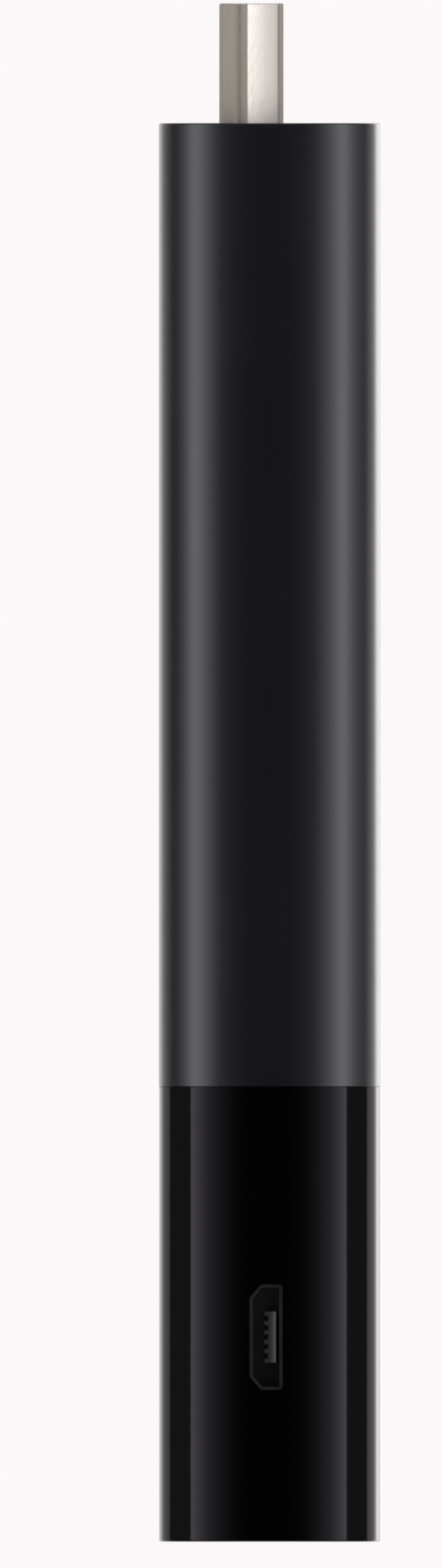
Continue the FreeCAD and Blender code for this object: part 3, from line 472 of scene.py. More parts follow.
def build_marks(tree, source, result):
    total = None
    for turn in ((0.0, 0.55, 0.0), (0.0, -1.15, 0.0), (-0.4, 0.0, 0.0)):
        inputs = {"Vector": source["Place"], "Rotation": turn, "Scale": (1.0, 1.0, 70.0)}
        place = node(tree, "Mapping", inputs, vector_type="TEXTURE").outputs[0]
        line = ramp(tree, noise(tree, place, source["Scale"], 0.0), source["Rarity"], 0.85)
        total = line if total is None else math_node(tree, "MAXIMUM", total, line)
    feed(tree, result["Scratches"], total)
    smear = noise(tree, source["Place"], source["Patch Scale"], 6.0)
    feed(tree, result["Smudges"], ramp(tree, smear, 0.45, 0.75))


def marks_effect():
    """Sparse hairline scratches and soft finger smudges."""
    return effect(
        "handling_marks", build_marks, ("Scratches", "Smudges"), scale=6000.0, rarity=0.7, patch_scale=110.0
    )


def build_wear_and_shade_band(tree, source, result):
    along = node(tree, "VectorMath", {0: source["Place"], 1: source["Axis"]}, operation="DOT_PRODUCT")
    past = math_node(tree, "SUBTRACT", along.outputs["Value"], source["Level"])
    away = math_node(tree, "ABSOLUTE", past)
    near = ramp(tree, away, 0.0, source["Reach"], 1.0, 0.0)
    broken = ramp(tree, noise(tree, source["Place"], source["Scale"], 5.0), source["Breaks"], 0.7)
    feed(tree, result["Mask"], math_node(tree, "MULTIPLY", near, broken))


def wear_and_shade_band_effect():
    """A band along an edge or fold that lies at one level on an axis, broken up away from it, which serves
    both for wear and for painted shade.
    """
    return effect(
        "wear_and_shade_band", build_wear_and_shade_band, ("Mask",),
        axis=UP, level=0.1, reach=0.5 * MM, scale=2500.0, breaks=0.45,
    )


def outline_mask(tree, place, housing, reach):
    """One along the housing's outline, none further in than the reach, whatever the height."""
    at = node(tree, "SeparateXYZ", {"Vector": place}).outputs
    past = math_node(tree, "SUBTRACT", math_node(tree, "ABSOLUTE", at["X"]), housing.half_flat)
    round_part = math_node(tree, "MAXIMUM", past, 0.0)
    flat = node(tree, "CombineXYZ", {"X": round_part, "Y": at["Y"]}).outputs[0]
    away = node(tree, "VectorMath", {0: flat}, operation="LENGTH").outputs["Value"]
    return ramp(tree, away, housing.half_depth - reach, housing.half_depth)


def use_effect(tree, group, place, **values):
    """Places a shared effect in a material with its own values."""
    made = tree.nodes.new("ShaderNodeGroup")
    made.node_tree = group
    feed(tree, made.inputs["Place"], place)
    for key, value in values.items():
        feed(tree, made.inputs[titled(key)], value)
    return made.outputs


# Materials

# How much of red, green and blue tarnish leaves
TARNISH = (0.97, 0.93, 0.86)


def new_material(name, color, **plain):
    """A material with its Principled shader's plain values set, its node tree, shader and object place."""
    material = bpy.data.materials.new(name)
    material.use_nodes = True
    material.diffuse_color = (*color, 1)
    tree = material.node_tree
    shader = next(n for n in tree.nodes if n.type == "BSDF_PRINCIPLED")
    shader.inputs["Base Color"].default_value = (*color, 1)
    for key, value in plain.items():
        shader.inputs[titled(key)].default_value = value
    place = node(tree, "TexCoord").outputs["Object"]
    return material, tree, shader, place


def mixed_color(tree, mask, first, second):
    """A colour that goes from the first to the second as the mask rises."""
    mix = node(tree, "Mix", data_type="RGBA")
    feed(tree, mix.inputs["Factor"], mask)
    for key, color in (("A", first), ("B", second)):
        feed(tree, mix.inputs[key], (*color, 1) if isinstance(color, tuple) else color)
    return mix.outputs["Result"]


def surface(tree, shader, base, rough, height, depth):
    """Feeds a shader's colour and roughness, and its normal from a height whose swing is a depth."""
    bump = node(tree, "Bump", {"Strength": 1.0, "Distance": depth, "Height": height})
    for key, value in (("Base Color", base), ("Roughness", rough), ("Normal", bump.outputs[0])):
        feed(tree, shader.inputs[key], value)


def scaled(color, factor):
    """A colour made lighter or darker."""
    return tuple(min(1.0, c * factor) for c in color)


def grained(made, color, scale, cloud_scale, shades, roughness, depth):
    """Gives a new material a fine grain, and clouds from one shade and roughness to another."""
    material, tree, shader, place = made
    grain = use_effect(tree, grain_effect(), place, scale=scale, cloud_scale=cloud_scale)
    base = mixed_color(tree, grain["Cloud"], *(scaled(color, shade) for shade in shades))
    rough = ramp(tree, grain["Cloud"], 0.0, 1.0, *roughness)
    surface(tree, shader, base, rough, grain["Height"], depth)
    return material


def sleeve_material(finish, housing):
    """Matt black plastic with a fine eroded texture, a satin sheen and a top rim polished by handling."""
    color = tuple(finish.sleeve)
    material, tree, shader, place = new_material(
        "matt_sleeve_plastic", color, roughness=finish.sleeve_roughness, ior=1.7
    )
    grain = use_effect(tree, grain_effect(), place, scale=14000.0, cloud_scale=60.0)
    rim_width = 0.4 * MM
    top = use_effect(
        tree, wear_and_shade_band_effect(), place, level=SLEEVE_BOX[1].z, reach=rim_width, scale=2600.0
    )
    rim = math_node(tree, "MULTIPLY", top["Mask"], outline_mask(tree, place, housing, rim_width))
    clouded = mixed_color(tree, grain["Cloud"], scaled(color, 0.94), scaled(color, 1.06))
    base = mixed_color(tree, math_node(tree, "MULTIPLY", rim, 0.5), clouded, scaled(color, 3.0))
    middle = finish.sleeve_roughness
    sheen = ramp(tree, grain["Cloud"], 0.0, 1.0, middle - 0.01, middle + 0.012)
    rough = math_node(tree, "MULTIPLY_ADD", rim, -0.06, sheen)
    surface(tree, shader, base, rough, grain["Height"], 1.2 * MICRON)
    return material


def cap_material(finish):
    """Polished black plastic with faint hairlines and smudges."""
    color = tuple(finish.cap)
    material, tree, shader, place = new_material(
        "gloss_cap_plastic", color, roughness=finish.cap_roughness, ior=1.5,
        specular_tint=(1.0, 0.92, 0.98, 1),
    )
    marks = use_effect(tree, marks_effect(), place, scale=5000.0, rarity=0.74, patch_scale=70.0)
    grain = use_effect(tree, grain_effect(), place, scale=900.0, cloud_scale=50.0)
    base = mixed_color(tree, grain["Cloud"], color, scaled(color, 1.3))
    smudged = math_node(tree, "MULTIPLY_ADD", marks["Smudges"], 0.012, finish.cap_roughness)
    rough = math_node(tree, "MULTIPLY_ADD", marks["Scratches"], 0.05, smudged)
    surface(tree, shader, base, rough, grain["Height"], 0.2 * MICRON)
    return material


def plated_material(name, color, roughness, line_scale, tip=None, foot=None, fold=None):
    """Plated sheet metal with drawing lines and slight tarnish, which may be wiped bright at its tip,
    darkened towards its foot by painted shade, and darkened in its fold by a painted shade line; tip and
    foot are heights, the fold a place along Y."""
    material, tree, shader, place = new_material(name, color, roughness=roughness, metallic=1.0)
    lines = use_effect(tree, lines_effect(), place, scale=line_scale, stretch=(1.0, 1.0, 0.015))
    marks = use_effect(tree, marks_effect(), place, scale=9000.0, rarity=0.70, patch_scale=160.0)
    base = mixed_color(tree, lines["Mask"], scaled(color, 0.96), scaled(color, 1.03))
    tarnish = math_node(tree, "MULTIPLY", marks["Smudges"], 0.25)
    base = mixed_color(tree, tarnish, base, tuple(c * k for c, k in zip(color, TARNISH)))
    rough = ramp(tree, lines["Mask"], 0.0, 1.0, roughness - 0.03, roughness + 0.03)
    rough = math_node(tree, "MULTIPLY_ADD", marks["Scratches"], 0.12, rough)
    # Bands: the tip's is wear, rubbed bright and smoother; the foot's is painted shade, a slight darkening
    # towards where the plug meets the sleeve; the fold's is a painted shade line in the crease of the step
    for axis, level, reach, scale, breaks, strength, shade, sheen in (
        (UP, tip, 1.1 * MM, 1800.0, 0.45, 0.5, 1.12, -0.06),
        (UP, foot, 6 * MM, 1500.0, 0.0, 0.12, 0.6, 0.05),
        (BACK, fold, 0.2 * MM, 1500.0, 0.0, 1.0, 0.6, 0.05),
    ):
        if level is None:
            continue
        wear_or_painted_light = use_effect(
            tree, wear_and_shade_band_effect(), place, axis=axis, level=level, reach=reach, scale=scale, breaks=breaks
        )
        part = math_node(tree, "MULTIPLY", wear_or_painted_light["Mask"], strength)
        base = mixed_color(tree, part, base, scaled(color, shade))
        rough = math_node(tree, "MULTIPLY_ADD", wear_or_painted_light["Mask"], sheen, rough)
    surface(tree, shader, base, rough, lines["Height"], 1 * MICRON)
    return material


def plain_plastic(name, color, roughness):
    """Moulded plastic, resin or ceramic with a fine grain and slight mottling."""
    made = new_material(name, color, roughness=roughness, ior=1.5)
    sheen = (roughness - 0.04, roughness + 0.04)
    return grained(made, color, 9000.0, 400.0, (0.85, 1.15), sheen, 2 * MICRON)


def tongue_material(finish):
    """Grey plastic of the port's tongue: at its end, painted shade on the ribs towards the front rising to
    a painted highlight along the back edge; further in, painted light that lifts the faces deep in the
    port.
    """
    end_band, painted_gradient_reach = 0.1 * MM, 0.56 * MM
    color = tuple(finish.port_plastic)
    material, tree, shader, place = new_material("port_tongue_plastic", color, roughness=0.45)
    grain = use_effect(tree, grain_effect(), place, scale=9000.0, cloud_scale=400.0)
    at = node(tree, "SeparateXYZ", {"Vector": place}).outputs
    at_end = ramp(tree, at["X"], TONGUE_END - 2 * end_band, TONGUE_END - end_band)
    # At the end face: painted shade on the ribs towards the front, rising to a painted highlight along the
    # back edge
    painted_highlight_to_back = math_node(tree, "POWER", ramp(tree, at["Y"], TONGUE_BACK - painted_gradient_reach, TONGUE_BACK), 2.5)
    wear_or_painted_light = mixed_color(tree, painted_highlight_to_back, scaled(color, 0.4), scaled(color, 2.7))
    # Faces further into the port are lightened by painted light, in place of the light that reaches the
    # back of the port
    base = mixed_color(tree, at_end, scaled(color, 1.8), wear_or_painted_light)
    base = mixed_color(tree, math_node(tree, "MULTIPLY", grain["Cloud"], 0.15), base, scaled(color, 0.3))
    rough = ramp(tree, grain["Cloud"], 0.0, 1.0, 0.41, 0.49)
    surface(tree, shader, base, rough, grain["Height"], 2 * MICRON)
    return material


def gold_material(finish):
    """Thin gold over nickel, with faint drawing lines."""
    known = bpy.data.materials.get("gold_contact_plating")
    if known:
        return known
    color = tuple(finish.gold)
    material, tree, shader, place = new_material(
        "gold_contact_plating", color, roughness=0.26, metallic=1.0
    )
    lines = use_effect(tree, lines_effect(), place, scale=12000.0, stretch=(1.0, 1.0, 0.05))
    base = mixed_color(tree, lines["Mask"], scaled(color, 0.9), scaled(color, 1.05))
    rough = ramp(tree, lines["Mask"], 0.0, 1.0, 0.22, 0.32)
    surface(tree, shader, base, rough, lines["Height"], 1 * MICRON)
    return material


def clear_material():
    """Clear moulded plastic of the light guide."""
    color = (0.86, 0.87, 0.86)
    material, tree, shader, place = new_material(
        "clear_guide_plastic", color, roughness=0.16, ior=1.49, transmission_weight=1.0
    )
    marks = use_effect(tree, marks_effect(), place, scale=9000.0, rarity=0.72, patch_scale=500.0)
    feed(tree, shader.inputs["Roughness"], math_node(tree, "MULTIPLY_ADD", marks["Smudges"], 0.12, 0.12))
    return material


def board_material(finish):
    """Solder mask over copper tracks, which show as faint ridges."""
    color = tuple(finish.board)
    material, tree, shader, place = new_material("solder_mask", color, roughness=0.32, coat_weight=0.3)
    tracks = node(tree, "TexBrick", {
        "Vector": stretched(tree, place, (1.0, 0.0, 1.0)), "Scale": 450.0, "Mortar Size": 0.06,
        "Color1": (*color, 1), "Color2": (*scaled(color, 0.9), 1), "Mortar": (*scaled(color, 1.7), 1),
    })
    joints = tracks.outputs["Fac"]
    rough = ramp(tree, joints, 0.0, 1.0, 0.36, 0.28)
    surface(tree, shader, tracks.outputs["Color"], rough, joints, 20 * MICRON)
    return material


def pad_material():
    """Soft blue-grey silicone that carries heat."""
    color = (0.34, 0.40, 0.50)
    made = new_material(
        "thermal_silicone", color, roughness=0.62, subsurface_weight=0.05, subsurface_scale=1 * MM
    )
    return grained(made, color, 2500.0, 700.0, (0.88, 1.1), (0.55, 0.68), 10 * MICRON)


def blasted_material(finish):
    """Die-cast aluminium, bead blasted."""
    color = tuple(finish.aluminium)
    made = new_material("blasted_aluminium", color, roughness=0.42, metallic=1.0)
    return grained(made, color, 5000.0, 180.0, (0.93, 1.03), (0.38, 0.48), 6 * MICRON)


# Pieces, each made by its own operator


def body_profile(bm, housing, rings):
    """Bridges outlines given as (inset, z), far apart, and then brings each to its height."""
    made = [stadium_ring(bm, housing, inset, i * APART) for i, (inset, _) in enumerate(rings)]
    bridged(bm, made)
    for i, (ring, (_, z)) in enumerate(zip(made, rings)):
        bmesh.ops.translate(bm, verts=edge_verts(ring), vec=(0, 0, z - i * APART))
    return made


class StickSleeve(bpy.types.Operator):
    """Matt sleeve: a full-round shell with a wall round the plug and a spigot below the seam"""

    bl_idname = "stick.sleeve"
    bl_label = "Matt sleeve"

    def execute(self, context):
        housing = context.scene.stick_housing
        plug = context.scene.stick_plug
        top, end = SLEEVE_BOX[1].z, SLEEVE_BOX[0].z
        seam = CAP_BOX[1].z
        wall, root = housing.wall, seam + housing.spigot_root
        spigot, bore = wall + housing.fit_gap, wall + housing.fit_gap + housing.spigot_wall
        bm = bmesh.new()
        rings = body_profile(bm, housing, [
            (wall, top - housing.top_wall), (wall, root), (bore, root), (bore, end), (spigot, end),
            (spigot, seam), (0, seam), (0, top),
        ])
        for ring in (rings[0], rings[-1]):
            bmesh.ops.edgeloop_fill(bm, edges=ring)
        rounded(bm, rings[-1], housing.edge_radius, 5)
        rounded(bm, rings[-2], housing.seam_radius, 2)
        blank = plain_object(bm, "sleeve_blank")
        cutter = bmesh.new()
        place = Matrix.Translation((0, plug_middle(), top - 2 * housing.top_wall))
        outline_face(cutter, plug_corners(plug, housing.fit_gap), place)
        drawn_out(cutter, cutter.faces[:], (0, 0, 3 * housing.top_wall))
        bm = cut_by(blank, plain_object(cutter, "plug_cutter"))
        material = sleeve_material(context.scene.stick_finish, housing)
        finished(bm, "sleeve_shell", ["main_sleeve"], material)
        return {"FINISHED"}


class StickCap(bpy.types.Operator):
    """Gloss end cap with its openings for the power port and the light guide"""

    bl_idname = "stick.cap"
    bl_label = "Gloss cap"

    def execute(self, context):
        housing = context.scene.stick_housing
        port = context.scene.stick_port
        seam = CAP_BOX[1].z
        bm = bmesh.new()
        rings = body_profile(bm, housing, [
            (housing.wall, housing.floor), (housing.wall, seam), (0, seam), (0, 0),
        ])
        for ring in (rings[0], rings[-1]):
            bmesh.ops.edgeloop_fill(bm, edges=ring)
        rounded(bm, rings[-1], housing.edge_radius, 5)
        rounded(bm, rings[-2], housing.seam_radius, 2)
        blank = plain_object(bm, "cap_blank")
        cutter = bmesh.new()
        outline_face(cutter, port_corners(port, port.gap), port_place(PORT_BOX[0].x))
        drawn_out(cutter, cutter.faces[:], (2 * housing.half_depth, 0, 0))
        blank = plain_object(cut_by(blank, plain_object(cutter, "port_cutter")), "cap_blank")
        cutter = bmesh.new()
        light_z = (GUIDE_BOX[0].z + GUIDE_BOX[1].z) / 2
        turn = Matrix.Translation((0, GUIDE_BOX[0].y, light_z)) @ Matrix.Rotation(math.pi / 2, 4, "X")
        radius = housing.light_hole
        bmesh.ops.create_cone(
            cutter, cap_ends=True, segments=64, radius1=radius, radius2=radius, depth=5 * housing.wall,
            matrix=turn,
        )
        bm = cut_by(blank, plain_object(cutter, "light_cutter"))
        inner = housing.half_depth + housing.half_flat - housing.wall / 2
        rim = sharp_edges(bm, 50, lambda at: at.x > inner and abs(at.z - PORT_MIDDLE) < port.opening)
        rounded(bm, rim, port.rim_radius, 2)
        finished(bm, "cap_shell", ["end_cap"], cap_material(context.scene.stick_finish))
        return {"FINISHED"}


class StickLightGuide(bpy.types.Operator):
    """Clear rod that shows the status light on the front"""

    bl_idname = "stick.light_guide"
    bl_label = "Light guide"

    def execute(self, context):
        softened("light_guide", "light_guide_rod", clear_material(), GUIDE_RADIUS)
        return {"FINISHED"}


def plug_middle():
    """The plug's middle along Y."""
    return (PLUG_BOX[0].y + PLUG_BOX[1].y) / 2


def grown_corners(corners, by):
    """Corners of an outline moved outwards by a distance, with their radii to match."""
    count = len(corners)
    moved = []
    for i, (u, v, radius) in enumerate(corners):
        here = Vector((u, v))
        first = (here - Vector(corners[i - 1][:2])).normalized()
        second = (Vector(corners[(i + 1) % count][:2]) - here).normalized()
        out_first = Vector((first.y, -first.x))
        out_second = Vector((second.y, -second.x))
        shift = (out_first + out_second) * by / (1 + out_first.dot(out_second))
        turn = first.x * second.y - first.y * second.x
        grown = radius + (by if turn > 0 else -by)
        moved.append((u + shift.x, v + shift.y, max(grown, abs(by) / 5)))
    return moved


def plug_corners(plug, by=0.0):
    """The plug's D outline about its middle, wide side towards +Y."""
    side, top = plug.width / 2, plug.height / 2
    shoulder = top - plug.side_height
    right = [
        (side - plug.step_in - plug.taper, -top, plug.corner),
        (side - plug.step_in, shoulder - plug.step_height, plug.bend),
        (side, shoulder, plug.shoulder),
        (side, top, plug.corner),
    ]
    return grown_corners(right + [(-u, v, r) for u, v, r in right[::-1]], by)


def is_outer(face, middle):
    """Whether a wall of the plug faces away from its middle."""
    off = face.calc_center_median() - Vector((0, middle, 0))
    return abs(face.normal.z) < 0.5 and face.normal.dot(off) > 0


class StickPlugShell(bpy.types.Operator):
    """Folded steel shell of the video plug, with latch windows, butt seam and legs"""

    bl_idname = "stick.plug_shell"
    bl_label = "Plug shell"

    def execute(self, context):
        plug = context.scene.stick_plug
        tip, rear = PLUG_BOX[1].z, PLUG_BOX[0].z + plug.leg_length
        middle = plug_middle()
        bm = bmesh.new()
        place = Matrix.Translation((0, middle, tip))
        sheet_tube(bm, plug_corners(plug), plug.sheet, place, (0, 0, rear - tip))
        half_seam = plug.seam / 2
        latch_z = (tip - plug.latch_from_tip - plug.latch_length, tip - plug.latch_from_tip)
        latch_x = [s * plug.latch_spacing / 2 + e * plug.latch_width / 2 for s in (-1, 1) for e in (-1, 1)]
        flat_middle, flat_half = middle + (plug.height - plug.side_height) / 2, plug.side_height / 2
        sliced(bm, 1, [flat_middle + flat_half * k / 4 for k in range(-3, 4)])
        for vert in bm.verts:
            if abs(vert.co.x) > plug.width / 2 - plug.corner - CLOSE:
                bulge = min(1, abs(vert.co.y - flat_middle) / flat_half) ** 2
                vert.co.x -= math.copysign(plug.crown * bulge, vert.co.x)
        mouth = sharp_edges(bm, 60, lambda at: abs(at.z - tip) < CLOSE)
        outer = [e for e in mouth if any(is_outer(f, middle) for f in e.link_faces)]
        rounded(bm, outer, plug.lead_in, 4)
        rounded(bm, [e for e in mouth if e.is_valid and e not in outer], plug.sheet / 10, 1)
        # Rounding frees places in the mesh in any order, and a copy has none, so each run slices alike
        rough, bm = bm, bm.copy()
        rough.free()
        sliced(bm, 0, sorted(latch_x) + [-half_seam, half_seam])
        sliced(bm, 2, latch_z)
        bmesh.ops.recalc_face_normals(bm, faces=bm.faces)
        for side in (-1, 1):
            low_x = side * plug.latch_spacing / 2 - plug.latch_width / 2
            for wide in (-1, 1):
                y = sorted((middle, middle + wide * plug.height))
                low, high = (low_x, y[0], latch_z[0]), (low_x + plug.latch_width, y[1], latch_z[1])
                windowed(bm, low, high)
        strip = [
            f for f in bm.faces
            if abs(f.calc_center_median().x) < half_seam and f.calc_center_median().y < middle
        ]
        bmesh.ops.delete(bm, geom=strip, context="FACES")
        for side in (-1, 1):
            bare = [e for e in bm.edges if e.is_boundary and e.verts[0].co.x * side > 0]
            bmesh.ops.edgeloop_fill(bm, edges=bare)
        leg_y = (flat_middle - plug.leg_width / 2, flat_middle + plug.leg_width / 2)
        for side in (-1, 1):
            leg_x = sorted((side * plug.width / 2, side * (plug.width / 2 - plug.sheet)))
            box_piece(bm, (leg_x[0], leg_y[0], PLUG_BOX[0].z), (leg_x[1], leg_y[1], rear + plug.sheet))
        finish = context.scene.stick_finish
        shoulder = middle + plug.height / 2 - plug.side_height
        # The plating takes painted shade towards the foot, where it meets the sleeve, and a painted shade
        # line along the fold of the step
        material = plated_material(
            "nickel_plating", tuple(finish.plug), finish.plug_roughness, 9000.0,
            tip=tip, foot=SLEEVE_BOX[1].z, fold=shoulder - plug.step_height * 0.6,
        )
        finished(bm, "plug_steel_shell", ["plug_shell"], material)
        return {"FINISHED"}


class StickPlugInside(bpy.types.Operator):
    """The plug's grooved insulator and its nineteen contacts"""

    bl_idname = "stick.plug_inside"
    bl_label = "Plug insulator and contacts"

    def execute(self, context):
        finish = context.scene.stick_finish
        black = plain_plastic("plug_insulator_plastic", tuple(finish.plug_plastic), 0.42)
        softened("plug_insulator", "plug_insulator_block", black, TRIM_RADIUS)
        gold = gold_material(finish)
        for row in ("wide", "narrow"):
            softened(f"plug_{row}_row_contacts", f"plug_{row}_row", gold, TRIM_RADIUS)
        return {"FINISHED"}


def port_place(x):
    """Where the port's outline lies: its first axis up, its second to the back."""
    middle = (PORT_BOX[0].y + PORT_BOX[1].y) / 2
    axes = Matrix(((0, 0, 1, 0), (0, 1, 0, 0), (1, 0, 0, 0), (0, 0, 0, 1)))
    return Matrix.Translation((x, middle, PORT_MIDDLE)) @ axes


def port_corners(port, by=0.0):
    """The port's outline as (up, back), its bevelled side towards the front."""
    high, back = port.opening / 2, port.thickness / 2
    upper = [
        (high - port.bevel_length, -back, port.corner),
        (high, -back + port.bevel_depth, port.corner),
        (high, back, port.corner),
    ]
    return grown_corners(upper + [(-u, v, r) for u, v, r in upper[::-1]], by)


class StickPort(bpy.types.Operator):
    """The power port: dark plated shell, tongue and five contacts"""

    bl_idname = "stick.port"
    bl_label = "Power port"

    def execute(self, context):
        port = context.scene.stick_port
        finish = context.scene.stick_finish
        mouth, rear = PORT_BOX[1].x, PORT_BOX[0].x
        bm = bmesh.new()
        sheet_tube(bm, port_corners(port), port.sheet, port_place(mouth), (rear - mouth, 0, 0))
        rounded(bm, sharp_edges(bm, 60, lambda at: abs(at.x - mouth) < CLOSE), port.mouth_radius, 2)
        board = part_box("main_board")[1]
        for side in (-1, 1):
            root = PORT_MIDDLE + side * (port.opening - port.sheet) / 2
            end = PORT_BOX[1].z if side > 0 else PORT_BOX[0].z
            z = sorted((root, end))
            box_piece(bm, (rear, board.y, z[0]), (board.x, board.y + port.sheet, z[1]))
        dark = plated_material("dark_port_plating", tuple(finish.port), 0.45, 7000.0)
        finished(bm, "port_steel_shell", ["port_shell"], dark)
        softened("port_insulator", "port_tongue", tongue_material(finish), TRIM_RADIUS)
        softened("port_contacts", "port_contact_row", gold_material(finish), TRIM_RADIUS)
        return {"FINISHED"}


def dressed(material, *nodes):
    """Gives CAD nodes that keep their shape a finished material."""
    for name in nodes:
        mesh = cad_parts[name].data
        mesh.materials.clear()
        mesh.materials.append(material)


class StickInside(bpy.types.Operator):
    """Finishes of the boards, heat plates, cans, chips and small parts inside"""

    bl_idname = "stick.inside"
    bl_label = "Inner parts"

    def execute(self, context):
        finish = context.scene.stick_finish
        dressed(board_material(finish), "main_board", "processor_substrate", "radio_board")
        dressed(blasted_material(finish), "rear_heatsink", "front_heat_plate")
        dressed(pad_material(), "processor_pad", "flash_pad", "rear_pad", "front_pad")
        zinc = plated_material("zinc_plating", (0.45, 0.45, 0.46), 0.36, 6000.0)
        dressed(zinc, "board_screws")
        tin = plated_material("tin_plating", (0.68, 0.68, 0.67), 0.34, 3000.0)
        dressed(
            tin, "rear_can_fence", "rear_can_lid", "front_can_fence", "front_can_lid", "radio_can",
            "side_antenna", "end_antenna", "clock_crystal",
        )
        resin = plain_plastic("chip_resin", (0.022, 0.022, 0.024), 0.55)
        dressed(resin, "processor_mould", "memory_chips", "flash_chip", "power_regulators", "surge_arrays")
        dressed(plain_plastic("pressed_ferrite", (0.05, 0.05, 0.052), 0.6), "power_inductors")
        dressed(plain_plastic("fired_capacitor", (0.40, 0.29, 0.19), 0.4), "ceramic_capacitors")
        dressed(plain_plastic("glazed_resistor", (0.03, 0.03, 0.033), 0.3), "chip_resistors", "input_fuse")
        dressed(plain_plastic("light_resin", (0.88, 0.84, 0.62), 0.22), "status_light")
        return {"FINISHED"}


# Stage


def set_visibility(obj, *rays):
    """Shows an object to some kinds of ray only."""
    for kind in ("camera", "diffuse", "glossy", "transmission", "shadow", "volume_scatter"):
        setattr(obj, f"visible_{kind}", kind in rays)


def lit_pieces(lamp, names, leave_out=False):
    """Lets a lamp or screen light some pieces only, or all but these."""
    group = bpy.data.collections.new(lamp.name + "_pieces")
    for name in names:
        group.objects.link(bpy.data.objects[name])
    if leave_out:
        for held in group.collection_objects:
            held.light_linking.link_state = "EXCLUDE"
    lamp.light_linking.receiver_collection = group


def backdrop_ray(tree):
    """One for camera, glossy and transmission rays."""
    path = node(tree, "LightPath").outputs
    both = math_node(tree, "MAXIMUM", path["Is Camera Ray"], path["Is Glossy Ray"])
    return math_node(tree, "MAXIMUM", both, path["Is Transmission Ray"])


def build_world(context, stage):
    """A soft white world, which camera, glossy and transmission rays see as the backdrop."""
    world = bpy.data.worlds.new("studio_world")
    context.scene.world = world
    world.use_nodes = True
    tree = world.node_tree
    tree.nodes.clear()
    soft = node(tree, "Background", {"Color": (1, 1, 1, 1), "Strength": stage.ambient})
    seen = node(tree, "Background", {"Color": (*stage.backdrop, 1), "Strength": 1.0})
    mix = node(tree, "MixShader", {0: backdrop_ray(tree), 1: soft.outputs[0], 2: seen.outputs[0]})
    out = node(tree, "OutputWorld")
    tree.links.new(mix.outputs[0], out.inputs["Surface"])


def bare_material(name):
    """A material with nothing but its output, its node tree, and that output."""
    material = bpy.data.materials.new(name)
    material.use_nodes = True
    tree = material.node_tree
    tree.nodes.clear()
    return material, tree, node(tree, "OutputMaterial")


# The floor takes shadow near the stick, where little of it glows, and is all backdrop further out
FLOOR_RADIUS = 0.5
FLOOR_FADE, FLOOR_GLOW = (0.03, 0.11), (0.45, 1.0)


def build_floor(stage):
    """A pale floor that takes the object's shadow and melts into the backdrop."""
    bm = bmesh.new()
    bmesh.ops.create_circle(bm, cap_ends=True, segments=96, radius=FLOOR_RADIUS)
    floor = plain_object(bm, "studio_floor")
    material, tree, out = bare_material("pale_floor")
    pale = node(tree, "BsdfDiffuse", {"Color": (0.8, 0.78, 0.785, 1)})
    glow = node(tree, "Emission", {"Color": (*stage.backdrop, 1), "Strength": 1.0})
    place = node(tree, "TexCoord").outputs["Object"]
    away = node(tree, "VectorMath", {0: place}, operation="LENGTH").outputs["Value"]
    fade = ramp(tree, away, *FLOOR_FADE, *FLOOR_GLOW)
    factor = math_node(tree, "MULTIPLY", backdrop_ray(tree), fade)
    mix = node(tree, "MixShader", {0: factor, 1: pale.outputs[0], 2: glow.outputs[0]})
    tree.links.new(mix.outputs[0], out.inputs["Surface"])
    floor.data.materials.append(material)
    floor.visible_glossy = False


# Levels of the screen that reflections see, by the angle from the side of the port, in degrees:
# a soft box that grows towards its edge, a dark flag beside it, and the pale backdrop behind.
# Above and below the stick's middle the screen fades between two distances
BRIGHTEST = 3.2
BOX_TINT, BACKDROP_TINT = (1.0, 1.0, 1.07), (1.0, 0.965, 0.985)
BOX_END = 110
SCREEN_FADE = (0.13, 0.36)
TOWARDS_FRONT = (
    (0, 0.006), (20, 0.012), (35, 0.045), (50, 0.145), (65, 0.36), (78, 0.76), (89.2, 1.17), (90.0, 0.12),
    (126.8, 0.065), (127.6, 0.36), (136, 0.40), (145, 0.50), (154, 1.15), (166, 1.25), (180, 1.0),
)
TOWARDS_BACK = (
    (0, 0.006), (20, 0.012), (35, 0.045), (50, 0.155), (65, 0.39), (78, 0.86), (86.4, 1.27), (87.2, 0.12),
    (121.6, 0.065), (122.4, 0.50), (133, 0.57), (139, 0.70), (144, 1.3), (149, 2.8), (155, 2.3), (161, 1.5),
    (180, 1.0),
)


def set_stops(color_ramp, edge_light):
    """Writes both halves of the screen's levels into a ramp over a whole turn."""
    stops = {-angle: level for angle, level in TOWARDS_FRONT}
    stops.update(dict(TOWARDS_BACK))
    while len(color_ramp.elements) < len(stops):
        color_ramp.elements.new(0.5)
    for element, angle in zip(color_ramp.elements, sorted(stops)):
        color = BOX_TINT if abs(angle) < BOX_END else BACKDROP_TINT
        value = stops[angle] * edge_light / BRIGHTEST
        element.position = 0.5 + angle / 360
        element.color = (*(value * part for part in color), 1)


